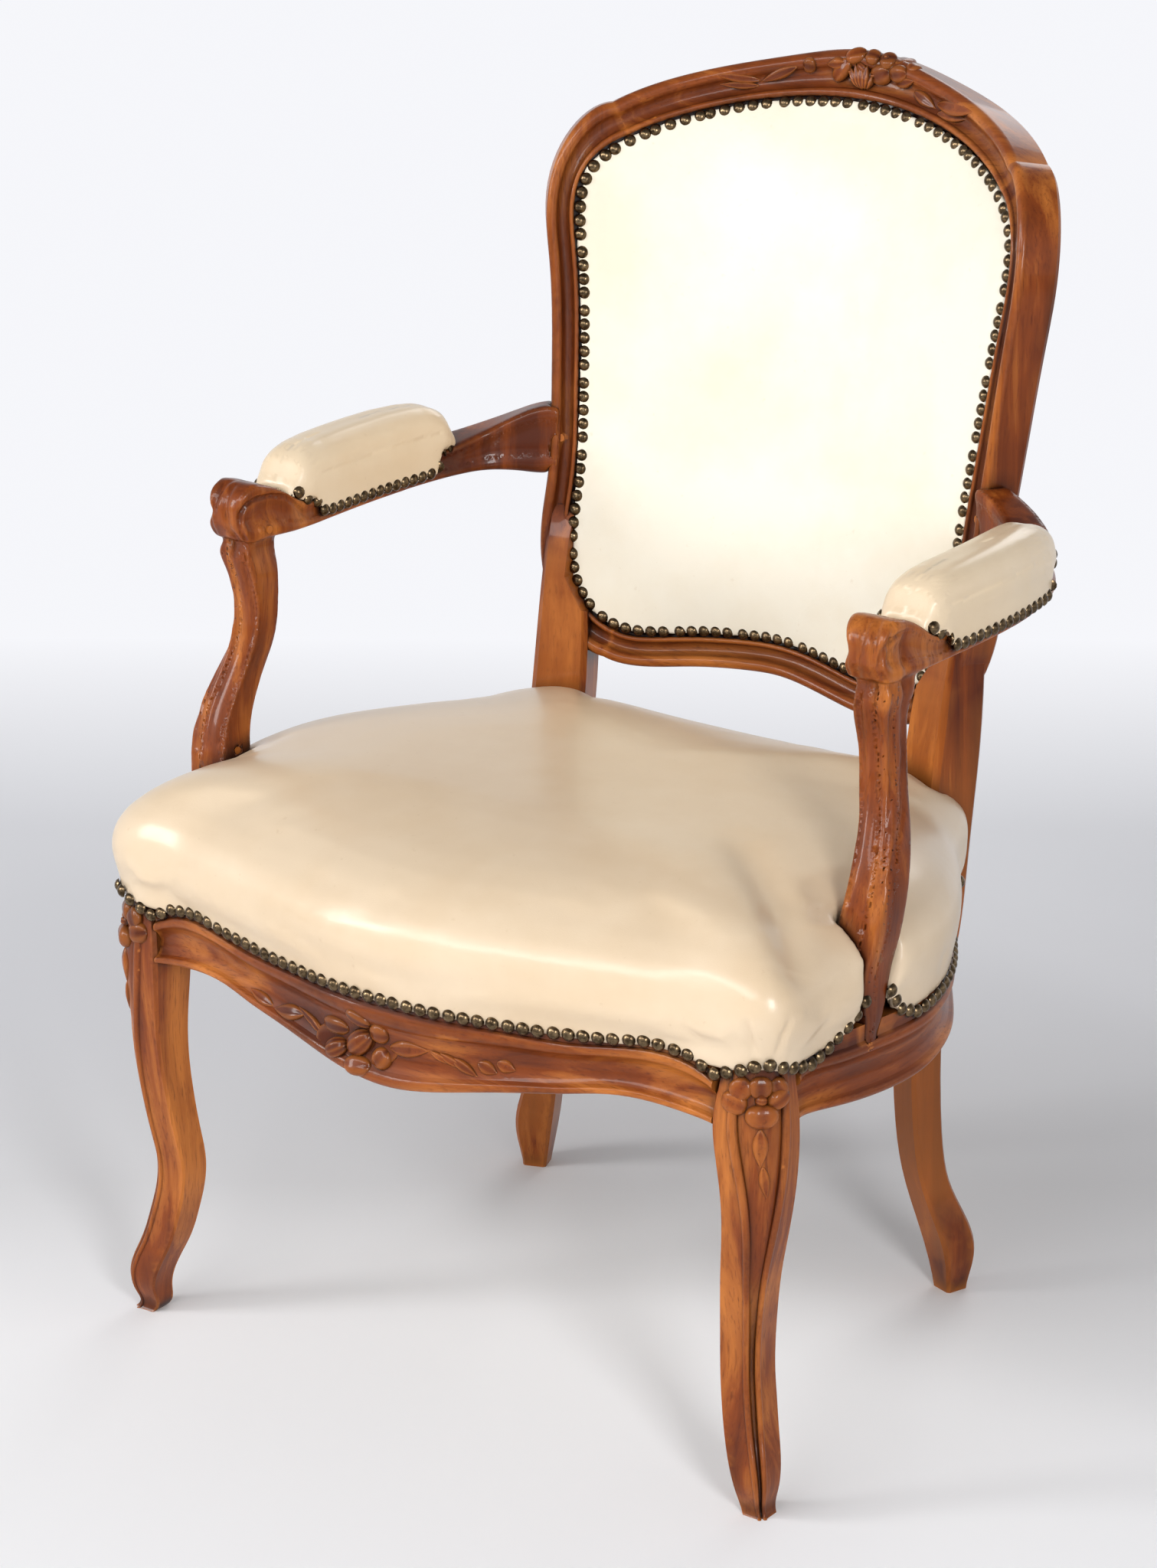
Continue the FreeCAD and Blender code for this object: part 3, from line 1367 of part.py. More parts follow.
# From its left shoulder to its right: the middle and end of each arc
COVER_ARCH_SHARES = (
    (-1.02, 0.22, -0.96, 0.45), (-0.75, 0.87, 0.0, 1.0), (0.75, 0.87, 0.96, 0.45), (1.02, 0.22, 1.0, 0.0),
)
PAD_START_SHARE = 0.245
ARM_HEM_SHARE = 0.25
ARM_NAIL_SHARE = 0.42


def arm_place(behind):
    """The middle of the arm at this distance behind the origin, on the floor, and the way outward."""
    line = smooth_line(arm_line())
    place = line.parameter(Vector(size("arm_across"), behind, ARM_MIDDLE))
    point = line.value(place)
    tangent = line.tangent(place)[0]
    return Vector(point.x, point.y, 0), Vector(tangent.y, -tangent.x, 0).normalize()


def pad_run():
    """Front and rear ends of the arm pad."""
    start = -size("arm_front") + PAD_START_SHARE * (size("arm_front") + size("back_setback"))
    return start, start + size("pad_length")


def arm_top(behind):
    """How high the wood of the arm is at this distance behind the origin."""
    reach = size("arm_front") + size("back_setback") + size("frame_depth") / 2
    along = (behind + size("arm_front")) / reach
    for first, second in zip(ARM_SHARES, ARM_SHARES[1:]):
        if first[0] <= along <= second[0]:
            share = (along - first[0]) / (second[0] - first[0])
            up = between(first[2], second[2], share)
            tall = between(first[4], second[4], share)
    return ARM_MIDDLE + (up + tall / 2) * size("arm_thickness")


def arm_pad():
    """The stuffing on the top of the arm."""
    start, end = pad_run()
    wires = []
    for along, wide, tall in PAD_SHARES:
        behind = between(start, end, along)
        middle, outward = arm_place(behind)
        low = arm_top(behind) + NOTCH_ROOM
        half = wide * (size("arm_width") / 2 - size("clearance"))
        rise = ARM_MIDDLE + size("arm_thickness") / 2 + tall * size("pad_height") - low
        wires.append(closed_wire(
            lambda out, up: middle + outward * (out * half) + UP * (low + up * rise), PAD_SECTION_SHARES
        ))
    return loft(wires, straight=True)


def cover_wire(behind, wide, tall, skirt):
    """One arch of leather: up from its hem, over the pad, down again, and back along its inside."""
    middle, outward = arm_place(behind)
    shoulder = arm_top(behind) + NOTCH_ROOM
    hem = shoulder - size("clearance") + skirt * (arm_hem() - shoulder)
    inside = size("arm_width") / 2 + size("clearance")
    crown = ARM_MIDDLE + size("arm_thickness") / 2 + tall * size("pad_height")
    steps = []
    for grow in (size("leather"), 0):
        half = (inside + grow) * wide
        rise = max(crown - shoulder, NOTCH_ROOM) + grow
        arch = [(-half, hem), (-half, shoulder)]
        for across, up, to, height in COVER_ARCH_SHARES:
            arch.append((across * half, shoulder + up * rise, to * half, shoulder + height * rise))
        arch.append((half, hem))
        steps.append(arch)
    outer, under = steps
    steps = outer + [under[-1], under[-2][-2:]]
    for number in range(len(COVER_ARCH_SHARES) + 1, 1, -1):
        steps.append(under[number][:2] + under[number - 1][-2:])
    steps.append(under[0])
    return closed_wire(lambda out, height: middle + outward * out + UP * height, steps)


def arm_hem():
    return size("arm_bottom") + ARM_HEM_SHARE * size("arm_thickness")


def arm_pads():
    start, end = pad_run()
    keep_pair("arm_stuffing", arm_pad())
    wires = [cover_wire(between(start, end, along), *shares) for along, *shares in COVER_SHARES]
    keep_pair("arm_cover", loft(wires, straight=True))


def pad_width_share(behind):
    """How wide the pad is here, as a share of its width."""
    start, end = pad_run()
    along = (behind - start) / (end - start)
    for (first, wide, tall), (second, wider, taller) in zip(PAD_SHARES, PAD_SHARES[1:]):
        if first <= along <= second:
            return between(wide, wider, (along - first) / (second - first))
    return PAD_SHARES[-1][1]


# Rows of nails

SPACING_SAMPLES = 400


def spaced(place, first, last):
    """Values between first and last that lie one nail pitch apart along the line of places."""
    values = [between(first, last, number / SPACING_SAMPLES) for number in range(SPACING_SAMPLES + 1)]
    spots = [place(value) for value in values]
    lengths = [0.0]
    for spot, following in zip(spots, spots[1:]):
        lengths.append(lengths[-1] + (following - spot).Length)
    count = max(1, round(lengths[-1] / size("nail_pitch")))
    chosen = []
    for number in range(count + 1):
        target = lengths[-1] * number / count
        chosen.append(values[min(range(len(values)), key=lambda i: abs(lengths[i] - target))])
    return chosen


# The nails of the seat: along the front rail from its middle, and along the side rail from the leg,
# with how far they rise or dip as a share of the nail band
FRONT_NAIL_SHARES = ((0.0, 0.0), (0.49, -0.08), (0.65, 0.08), (0.81, 0.42), (0.93, 0.0), (1.0, -0.8))
KNEE_NAIL_SHARE = 0.42
SIDE_NAIL_SHARES = ((0.02, -0.75), (0.08, -0.42), (0.15, 0.58), (0.19, 1.6))
REAR_SIDE_NAIL_SHARES = (
    (0.27, 1.6), (0.30, 0.17), (0.36, -0.6), (0.50, -0.5), (0.70, -0.25), (0.90, 0.0), (0.975, 0.0),
)


def nearest_on_plan(point):
    return plan.parameter(Vector(point.x, point.y, 0))


def side_spot(along):
    first = side_rail_points()[0][0]
    last = side_rail_points()[-1][0]
    return rail_face(side_rail_points(), between(first.y, last.y, along), "y")


def nail_rows():
    """Places on the plan, with heights, of each unbroken row on the right half of the seat."""
    front = []
    for share, lift in FRONT_NAIL_SHARES:
        front.append((nearest_on_plan(rail_face(front_rail_points(), share * JOINT_ACROSS, "x")), lift))
    front.append((nearest_on_plan(KNEE), KNEE_NAIL_SHARE))
    front += [(nearest_on_plan(side_spot(share)), lift) for share, lift in SIDE_NAIL_SHARES]
    rear = [(nearest_on_plan(side_spot(share)), lift) for share, lift in REAR_SIDE_NAIL_SHARES]
    inside = size("post_across") - size("post_side") * POST_CORNER_SHARE
    behind = BACK_RAIL_REAR + size("rail_rebate")
    back = [(nearest_on_plan(Vector(inside, behind, 0)), 0.0), (nearest_on_plan(Vector(0, behind, 0)), 0.0)]
    return front, rear, back


def seat_nail(row, along):
    """Place and outward way of a nail somewhere along its row."""
    for (first, lift), (second, other) in zip(row, row[1:]):
        if first <= along <= second:
            rise = between(lift, other, (along - first) / (second - first))
    tangent = plan.tangent(along)[0]
    outward = Vector(tangent.y, -tangent.x, 0).normalize()
    grow = SKIN_SHARES[1][0] * size("seat_half_width")
    return plan.value(along) + outward * grow + UP * (size("nail_height") + rise * size("nail_band")), outward


def seat_nails():
    copies = []
    for number, row in enumerate(nail_rows()):
        start, end = row[0][0], row[-1][0]
        for along in spaced(lambda value: seat_nail(row, value)[0], start, end):
            copy = driven(nail, *seat_nail(row, along))
            copies.append(copy)
            if abs(copy.Placement.Base.x) > size("nail_head") / 2:
                copies.append(mirrored(copy))
    group("seat_nails", copies)


def back_nails(name, depth, facing):
    """A row all round the back, on the leather at this depth."""
    copies = []
    last = outline.LastParameter
    for along in spaced(lambda value: on_outline(value, 0, depth), 0, last)[:-1]:
        point = outline.value(along)
        across, upward = back_slopes(point.x, point.z)
        rearward = upward.cross(across).normalize()
        copies.append(driven(nail, on_outline(along, 0, depth), rearward * facing))
    group(name, copies)


SIDE_ROW_SHARES = (0.10, 0.90)
END_NAIL_SHARES = (-0.66, -0.22, 0.22, 0.66)


def arm_nails():
    """Along both sides of each arm pad, and across its ends."""
    start, end = pad_run()
    out = size("arm_width") / 2 + size("leather") + size("clearance")
    height = size("arm_bottom") + ARM_NAIL_SHARE * size("arm_thickness")
    copies = []
    for side in (-1, 1):
        def spot(behind):
            middle, outward = arm_place(behind)
            return middle + outward * (side * out * pad_width_share(behind)) + UP * height
        first, last = (between(start, end, share) for share in SIDE_ROW_SHARES)
        for behind in spaced(spot, first, last):
            copies.append(driven(nail, spot(behind), arm_place(behind)[1] * side))
    for behind, facing in ((start, -1), (end, 1)):
        middle, outward = arm_place(behind)
        lean = (UP + BEHIND * facing).normalize()
        for share in END_NAIL_SHARES:
            top = UP * (arm_top(behind) + size("leather") * 2)
            copies.append(driven(nail, middle + outward * (share * out) + top, lean))
    group("arm_nails_right", copies)
    group("arm_nails_left", [mirrored(copy) for copy in copies])


post = build_frame()
back_seat_rail(post)
doc.recompute()
braces(parts)
pegs()
seat_upholstery([doc.getObject("front_seat_rail").Shape] + both(doc.getObject("side_seat_rail_right").Shape))
seat_webbing()
seat_springs()
bottom_cloth(post)
front_depth, rear_depth = back_upholstery()
arm_pads()
seat_nails()
back_nails("back_nails_front", front_depth, -1)
back_nails("back_nails_rear", rear_depth, 1)
arm_nails()
doc.recompute()

for thing in doc.Objects:
    if "Invalid" in thing.State or "Error" in thing.State:
        raise RuntimeError("%s failed: %s" % (thing.Label, thing.State))
for feature in parts:
    if feature.Shape.isNull() or not feature.Shape.isValid():
        raise RuntimeError("%s has no valid shape" % feature.Label)

os.makedirs("parts", exist_ok=True)
for feature in parts:
    feature.Shape.exportStep("parts/%s.step" % feature.Label)
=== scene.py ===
import json
import math

import bpy
from mathutils import Euler, Matrix, Vector
from mathutils.bvhtree import BVHTree
from mathutils.kdtree import KDTree

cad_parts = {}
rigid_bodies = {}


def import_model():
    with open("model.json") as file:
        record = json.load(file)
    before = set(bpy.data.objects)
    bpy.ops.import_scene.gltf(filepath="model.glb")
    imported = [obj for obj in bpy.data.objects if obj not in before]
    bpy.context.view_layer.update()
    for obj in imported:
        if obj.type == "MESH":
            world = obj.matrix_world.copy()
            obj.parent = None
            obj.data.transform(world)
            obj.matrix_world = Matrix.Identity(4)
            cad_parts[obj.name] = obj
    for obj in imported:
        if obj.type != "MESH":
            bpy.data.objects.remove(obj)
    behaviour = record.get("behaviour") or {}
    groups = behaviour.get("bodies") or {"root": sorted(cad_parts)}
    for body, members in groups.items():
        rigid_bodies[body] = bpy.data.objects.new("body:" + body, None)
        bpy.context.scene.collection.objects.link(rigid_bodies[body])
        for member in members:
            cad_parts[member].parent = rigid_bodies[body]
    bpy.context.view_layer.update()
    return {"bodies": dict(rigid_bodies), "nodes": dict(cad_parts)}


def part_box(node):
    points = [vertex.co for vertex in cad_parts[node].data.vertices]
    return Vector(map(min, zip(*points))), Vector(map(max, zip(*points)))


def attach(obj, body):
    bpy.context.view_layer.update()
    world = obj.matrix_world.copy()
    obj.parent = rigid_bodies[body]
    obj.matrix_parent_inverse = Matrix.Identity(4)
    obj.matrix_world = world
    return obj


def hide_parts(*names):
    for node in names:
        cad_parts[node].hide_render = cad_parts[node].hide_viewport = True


# A carved, open-arm salon chair in cream leather with rows of dome nails.
# Metres, in the frame of the solids: +Z up, the chair faces -Y.

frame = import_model()
BODY = sorted(frame["bodies"])[0]
nodes = frame["nodes"]
MM = 0.001
SIDES = ("right", "left")

# The photograph and its camera

PHOTO_WIDTH = 1511
PHOTO_HEIGHT = 2048
SENSOR = 36.0
LENS = 107.8
CAMERA_PLACE = Vector((1.885, -2.695, 1.595))
AZIMUTH = math.radians(35.773)
ELEVATION = math.radians(19.798)
ROLL = math.radians(0.088)
CAMERA_TURN = Euler((math.pi / 2 - ELEVATION, 0, AZIMUTH)).to_matrix() @ Matrix.Rotation(ROLL, 3, "Z")


def camera():
    data = bpy.data.cameras.new("photograph")
    data.sensor_fit = "VERTICAL"
    data.sensor_height = SENSOR
    data.lens = LENS
    eye = bpy.data.objects.new("photograph", data)
    eye.location = CAMERA_PLACE
    eye.rotation_euler = CAMERA_TURN.to_euler()
    bpy.context.scene.collection.objects.link(eye)
    bpy.context.scene.camera = eye


def sight(pixel):
    """The way that the camera looks through a pixel of the photograph."""
    across = pixel[0] - PHOTO_WIDTH / 2
    up = PHOTO_HEIGHT / 2 - pixel[1]
    ahead = LENS / SENSOR * PHOTO_HEIGHT
    return (CAMERA_TURN @ Vector((across, up, -ahead))).normalized()


# Materials

def shader_group(name, inputs, outputs):
    """A node group with its input and output nodes."""
    tree = bpy.data.node_groups.new(name, "ShaderNodeTree")
    for label, kind, value in inputs:
        tree.interface.new_socket(label, in_out="INPUT", socket_type=kind).default_value = value
    for label, kind in outputs:
        tree.interface.new_socket(label, in_out="OUTPUT", socket_type=kind)
    return tree, tree.nodes.new("NodeGroupInput"), tree.nodes.new("NodeGroupOutput")


def add(tree, kind, inputs=(), **settings):
    """One shader node with its settings and its inputs, by name or number."""
    node = tree.nodes.new(kind)
    for label, value in settings.items():
        setattr(node, label, value)
    for label, value in dict(inputs).items():
        if isinstance(value, bpy.types.NodeSocket):
            tree.links.new(value, node.inputs[label])
        else:
            node.inputs[label].default_value = value
    return node


def ramp(tree, factor, stops):
    node = tree.nodes.new("ShaderNodeValToRGB")
    tree.links.new(factor, node.inputs["Fac"])
    elements = node.color_ramp.elements
    while len(elements) < len(stops):
        elements.new(0.5)
    for element, (place, colour) in zip(elements, stops):
        element.position = place
        element.color = (*colour, 1)
    return node.outputs["Color"]


def blend_colours(tree, factor, first, second):
    node = tree.nodes.new("ShaderNodeMix")
    node.data_type = "RGBA"
    for socket, value in ((node.inputs[0], factor), (node.inputs[6], first), (node.inputs[7], second)):
        if isinstance(value, bpy.types.NodeSocket):
            tree.links.new(value, socket)
        else:
            socket.default_value = (*value, 1)
    return node.outputs[2]


def grain_group():
    """Long wood grain: a mask that changes slowly along the grain, and fine pores."""
    tree, given, result = shader_group(
        "wood_grain",
        [("Stretch", "NodeSocketVector", (1, 1, 1)), ("Figure", "NodeSocketFloat", 1.0)],
        [("Tone", "NodeSocketFloat"), ("Pores", "NodeSocketFloat")],
    )
    place = add(tree, "ShaderNodeTexCoord").outputs["Object"]
    stretched = add(tree, "ShaderNodeVectorMath", {0: place, 1: given.outputs["Stretch"]},
                    operation="MULTIPLY")
    broad = add(tree, "ShaderNodeTexNoise", {"Vector": stretched.outputs[0], "Scale": 55.0, "Detail": 5.0,
                                             "Roughness": 0.6, "Distortion": 0.5})
    fine = add(tree, "ShaderNodeTexNoise", {"Vector": stretched.outputs[0], "Scale": 620.0, "Detail": 2.0,
                                            "Roughness": 0.6})
    patches = add(tree, "ShaderNodeTexNoise", {"Vector": place, "Scale": 7.0, "Detail": 2.0})
    mixing = {0: broad.outputs[0], 1: given.outputs["Figure"], 2: patches.outputs[0]}
    tone = add(tree, "ShaderNodeMath", mixing, operation="MULTIPLY_ADD")
    level = add(tree, "ShaderNodeMapRange", {"Value": tone.outputs[0], "From Min": 0.7, "From Max": 1.3})
    tree.links.new(level.outputs[0], result.inputs["Tone"])
    pores = add(tree, "ShaderNodeMapRange", {"Value": fine.outputs[0], "From Min": 0.25, "From Max": 0.45,
                                             "To Min": 0.35})
    tree.links.new(pores.outputs[0], result.inputs["Pores"])
    return tree


def weave_group():
    """Threads over and under each other, as a height and a shade."""
    tree, given, result = shader_group(
        "plain_weave",
        [("Threads", "NodeSocketFloat", 500.0), ("Uneven", "NodeSocketFloat", 0.3)],
        [("Height", "NodeSocketFloat"), ("Shade", "NodeSocketFloat")],
    )
    place = add(tree, "ShaderNodeTexCoord").outputs["Object"]
    waves = []
    for direction in ("X", "Y"):
        wave = add(tree, "ShaderNodeTexWave", {"Vector": place, "Scale": given.outputs["Threads"],
                                               "Distortion": given.outputs["Uneven"], "Detail": 1.0},
                   bands_direction=direction)
        waves.append(wave.outputs["Fac"])
    height = add(tree, "ShaderNodeMath", {0: waves[0], 1: waves[1]}, operation="ADD")
    tree.links.new(height.outputs[0], result.inputs["Height"])
    shade = add(tree, "ShaderNodeTexNoise", {"Vector": place, "Scale": 90.0, "Detail": 4.0})
    tree.links.new(shade.outputs[0], result.inputs["Shade"])
    return tree


GRAIN = grain_group()
WEAVE = weave_group()


def new_material(name):
    material = bpy.data.materials.new(name)
    material.use_nodes = True
    tree = material.node_tree
    return material, tree, tree.nodes["Principled BSDF"]


def use_group(tree, group, **inputs):
    node = tree.nodes.new("ShaderNodeGroup")
    node.node_tree = group
    for label, value in inputs.items():
        node.inputs[label].default_value = value
    return node


def bump(tree, shader, height, strength, distance):
    node = add(tree, "ShaderNodeBump", {"Height": height, "Strength": strength, "Distance": distance})
    tree.links.new(node.outputs["Normal"], shader.inputs["Normal"])


def preset(shader, values):
    for label, value in values.items():
        shader.inputs[label].default_value = value


# Varnished wood: painted shade darkens the hollows, and the stain is rubbed to orange on the edges

# The first colour is painted shade for the hollows; the others are tones of the stain
PAINTED_HOLLOW_SHADE = (0.016, 0.004, 0.002)
STAIN_DEEP = (0.085, 0.016, 0.004)
STAIN_WARM = (0.22, 0.046, 0.007)
STAIN_WORN = (0.52, 0.165, 0.030)
# How far the painted shade in the hollows looks for nearby wood
HOLLOW_REACH = 0.015
EDGE_RUBBED = 0.7


def varnished(name, stretch, figure=1.0, rubbed=1.0):
    material, tree, shader = new_material(name)
    grain = use_group(tree, GRAIN, Stretch=stretch, Figure=figure)
    stops = [(0.05, STAIN_DEEP), (0.5, STAIN_WARM), (0.95, STAIN_WORN)]
    stained = ramp(tree, grain.outputs["Tone"], stops)
    pored = blend_colours(tree, grain.outputs["Pores"], STAIN_DEEP, stained)
    # Painted shade: the colour turns near black where nearby wood hems the surface in
    hollow = add(tree, "ShaderNodeAmbientOcclusion", {"Distance": HOLLOW_REACH}, samples=6)
    open_air = add(tree, "ShaderNodeMapRange", {"Value": hollow.outputs["AO"], "From Min": 0.42,
                                                "From Max": 0.97})
    shaded = blend_colours(tree, open_air.outputs[0], PAINTED_HOLLOW_SHADE, pored)
    point = add(tree, "ShaderNodeNewGeometry").outputs["Pointiness"]
    edge = add(tree, "ShaderNodeMapRange", {"Value": point, "From Min": 0.51, "From Max": 0.60,
                                            "To Max": rubbed * EDGE_RUBBED})
    worn = blend_colours(tree, edge.outputs[0], shaded, STAIN_WORN)
    tree.links.new(worn, shader.inputs["Base Color"])
    dull = add(tree, "ShaderNodeMapRange", {"Value": grain.outputs["Tone"], "To Min": 0.30, "To Max": 0.42})
    tree.links.new(dull.outputs[0], shader.inputs["Roughness"])
    preset(shader, {"Specular IOR Level": 0.14, "Coat Weight": 0.22, "Coat Roughness": 0.07})
    bump(tree, shader, grain.outputs["Pores"], strength=0.12, distance=0.0003)
    return material


# The grain's scale along itself, where it is 1 across
ALONG_GRAIN = 0.07

# The tone of worn and of soiled leather, in shares of its colour
TAN_SHARES = (0.93, 0.89, 0.83)
GRIME_SHARES = (0.72, 0.62, 0.50)
FOLD_HEIGHT = 6
PEBBLE_HEIGHT = 0.35


def toned(colour, shares):
    return tuple(part * share for part, share in zip(colour, shares))


def leather(name, colour, crease=0.35, gloss=0.30, coat=0.25):
    """Smooth finished hide: fine pebble, faint creases and uneven tone."""
    material, tree, shader = new_material(name)
    place = add(tree, "ShaderNodeTexCoord").outputs["Object"]
    cloud = add(tree, "ShaderNodeTexNoise", {"Vector": place, "Scale": 9.0, "Detail": 5.0,
                                             "Roughness": 0.55})
    tone = ramp(tree, cloud.outputs[0], [(0.30, toned(colour, TAN_SHARES)), (0.62, colour)])
    speck = add(tree, "ShaderNodeTexNoise", {"Vector": place, "Scale": 160.0, "Detail": 2.0})
    soiled = add(tree, "ShaderNodeMapRange", {"Value": speck.outputs[0], "From Min": 0.70, "From Max": 0.80,
                                              "To Max": 0.25})
    grimy = blend_colours(tree, soiled.outputs[0], tone, toned(colour, GRIME_SHARES))
    tree.links.new(grimy, shader.inputs["Base Color"])
    rough = add(tree, "ShaderNodeMapRange", {"Value": cloud.outputs[0], "To Min": gloss - 0.05,
                                             "To Max": gloss + 0.10})
    tree.links.new(rough.outputs[0], shader.inputs["Roughness"])
    pebble = add(tree, "ShaderNodeTexVoronoi", {"Vector": place, "Scale": 1100.0}, feature="F1")
    wrinkle = add(tree, "ShaderNodeTexNoise", {"Vector": place, "Scale": 38.0, "Detail": 6.0,
                                               "Roughness": 0.62, "Distortion": 0.9})
    fold = add(tree, "ShaderNodeMath", {0: wrinkle.outputs[0], 1: crease * FOLD_HEIGHT},
               operation="MULTIPLY")
    grained = {0: pebble.outputs["Distance"], 1: PEBBLE_HEIGHT, 2: fold.outputs[0]}
    height = add(tree, "ShaderNodeMath", grained, operation="MULTIPLY_ADD")
    bump(tree, shader, height.outputs[0], strength=0.16, distance=0.0005)
    preset(shader, {"Specular IOR Level": 0.35, "Coat Weight": coat, "Coat Roughness": 0.18})
    return material


def metal(name, bright, tarnish, gloss, patch_scale):
    """Bright on the crowns, tarnished in patches and in the corners."""
    material, tree, shader = new_material(name)
    place = add(tree, "ShaderNodeTexCoord").outputs["Object"]
    patches = add(tree, "ShaderNodeTexNoise", {"Vector": place, "Scale": patch_scale, "Detail": 4.0})
    tone = ramp(tree, patches.outputs[0], [(0.35, tarnish), (0.68, bright)])
    hollow = add(tree, "ShaderNodeAmbientOcclusion", {"Distance": 0.004}, samples=4)
    open_air = add(tree, "ShaderNodeMapRange", {"Value": hollow.outputs["AO"], "From Min": 0.3,
                                                "From Max": 0.85})
    tree.links.new(blend_colours(tree, open_air.outputs[0], tarnish, tone), shader.inputs["Base Color"])
    rough = add(tree, "ShaderNodeMapRange", {"Value": patches.outputs[0], "To Min": gloss + 0.14,
                                             "To Max": gloss})
    tree.links.new(rough.outputs[0], shader.inputs["Roughness"])
    preset(shader, {"Metallic": 1.0})
    pit = add(tree, "ShaderNodeTexNoise", {"Vector": place, "Scale": 900.0, "Detail": 2.0})
    bump(tree, shader, pit.outputs[0], strength=0.15, distance=0.0002)
    return material


def cloth(name, colour, shade, threads):
    """Plain woven cloth; threads is the scale of its weave."""
    material, tree, shader = new_material(name)
    weave = use_group(tree, WEAVE, Threads=threads)
    tone = ramp(tree, weave.outputs["Shade"], [(0.35, shade), (0.65, colour)])
    tree.links.new(tone, shader.inputs["Base Color"])
    bump(tree, shader, weave.outputs["Height"], strength=0.6, distance=0.0006)
    preset(shader, {"Roughness": 0.9})
    return material


def fibre(name, colour, shade):
    """Loose matted hair."""
    material, tree, shader = new_material(name)
    place = add(tree, "ShaderNodeTexCoord").outputs["Object"]
    tangle = add(tree, "ShaderNodeTexNoise", {"Vector": place, "Scale": 220.0, "Detail": 6.0,
                                              "Distortion": 3.0})
    tone = ramp(tree, tangle.outputs[0], [(0.35, shade), (0.7, colour)])
    tree.links.new(tone, shader.inputs["Base Color"])
    bump(tree, shader, tangle.outputs[0], strength=0.8, distance=0.001)
    preset(shader, {"Roughness": 0.95})
    return material


def bare_wood(name, colour, shade):
    material, tree, shader = new_material(name)
    grain = use_group(tree, GRAIN, Stretch=(ALONG_GRAIN, 1, 1))
    tone = ramp(tree, grain.outputs["Tone"], [(0.1, shade), (0.9, colour)])
    tree.links.new(tone, shader.inputs["Base Color"])
    bump(tree, shader, grain.outputs["Pores"], strength=0.3, distance=0.0004)
    preset(shader, {"Roughness": 0.75})
    return material


upright_wood = varnished("varnished_upright", (1, 1, ALONG_GRAIN))
across_wood = varnished("varnished_across", (ALONG_GRAIN, 1, 1))
lengthwise_wood = varnished("varnished_lengthwise", (1, ALONG_GRAIN, 1))
carved_wood = varnished("varnished_carving", (0.5, 0.5, 0.5), figure=0.8, rubbed=1.3)
seat_leather = leather("seat_leather", (0.75, 0.595, 0.42))
back_leather = leather("back_leather", (0.92, 0.87, 0.745), crease=0.15, gloss=0.45, coat=0.05)
arm_leather = leather("arm_leather", (0.85, 0.69, 0.49), crease=0.2)
rear_leather = leather("rear_leather", (0.78, 0.68, 0.53), crease=0.2)
brass = metal("antique_brass", (0.21, 0.145, 0.08), (0.05, 0.033, 0.018), gloss=0.20, patch_scale=260.0)
steel = metal("dull_steel", (0.45, 0.44, 0.42), (0.20, 0.18, 0.16), gloss=0.35, patch_scale=120.0)
jute = cloth("jute_webbing", (0.50, 0.38, 0.22), (0.36, 0.26, 0.14), threads=330.0)
sacking = cloth("hessian", (0.56, 0.44, 0.27), (0.40, 0.30, 0.17), threads=420.0)
dust_cloth = cloth("dust_cloth", (0.66, 0.60, 0.49), (0.55, 0.49, 0.39), threads=700.0)
horsehair = fibre("horsehair", (0.22, 0.15, 0.09), (0.05, 0.035, 0.02))
raw_beech = bare_wood("raw_beech", (0.62, 0.42, 0.24), (0.45, 0.28, 0.14))

FINISHES = {
    "front_leg": upright_wood,
    "rear_leg": upright_wood,
    "arm_support": upright_wood,
    "arm": lengthwise_wood,
    "side_seat_rail": lengthwise_wood,
    "front_seat_rail": across_wood,
    "back_seat_rail": across_wood,
    "crest_rail": across_wood,
    "lower_back_rail": across_wood,
    "joint_pegs": lengthwise_wood,
    "support_plugs": lengthwise_wood,
    "front_corner_brace": raw_beech,
    "rear_corner_brace": raw_beech,
    "brace_screws": steel,
    "webbing_tacks": steel,
    "seat_springs": steel,
    "seat_nails": brass,
    "back_nails_front": brass,
    "back_nails_rear": brass,
    "arm_nails": brass,
    "seat_webbing_lengthwise": jute,
    "seat_webbing_crosswise": jute,
    "back_webbing_upright": jute,
    "back_webbing_crosswise": jute,
    "seat_hessian": sacking,
    "back_hessian": sacking,
    "bottom_cloth": dust_cloth,
    "seat_stuffing": horsehair,
    "back_stuffing": horsehair,
    "arm_stuffing": horsehair,
    "seat_cover": seat_leather,
    "back_cover_front": back_leather,
    "back_cover_rear": rear_leather,
    "arm_cover": arm_leather,
}


def finish_of(node):
    for side in SIDES:
        node = node.removesuffix("_" + side)
    return FINISHES[node]


def dress(piece, material):
    piece.data.materials.clear()
    piece.data.materials.append(material)


for label, node in nodes.items():
    for held in node.material_slots:
        held.material = finish_of(label)


# The studio

FLOOR_REACH = 40.0
FLOOR_FAR = 10.0
# The tone of the floor by its distance from the camera's foot, in shares of FLOOR_FAR; its darker band is
# painted shade across the floor under the back half of the chair and just behind it
FLOOR_TONES = (
    (0.300, (0.91, 0.91, 0.925)), (0.320, (0.90, 0.90, 0.915)), (0.334, (0.83, 0.83, 0.845)),
    (0.347, (0.74, 0.74, 0.755)), (0.387, (0.825, 0.828, 0.86)), (0.427, (0.92, 0.925, 0.96)),
    (0.470, (0.93, 0.935, 0.97)), (0.500, (0.92, 0.925, 0.96)),
)
# Where the floor's own tone gives way to an evenly lit background, from the camera's foot
GLOW_FROM = 4.3
GLOW_TO = 4.9
WORLD_COLOUR = (0.96, 0.97, 1.0, 1)
WORLD_STRENGTH = 0.28
SKY_TONES = ((0.30, (0.93, 0.94, 0.97)), (0.62, (0.30, 0.30, 0.31)))
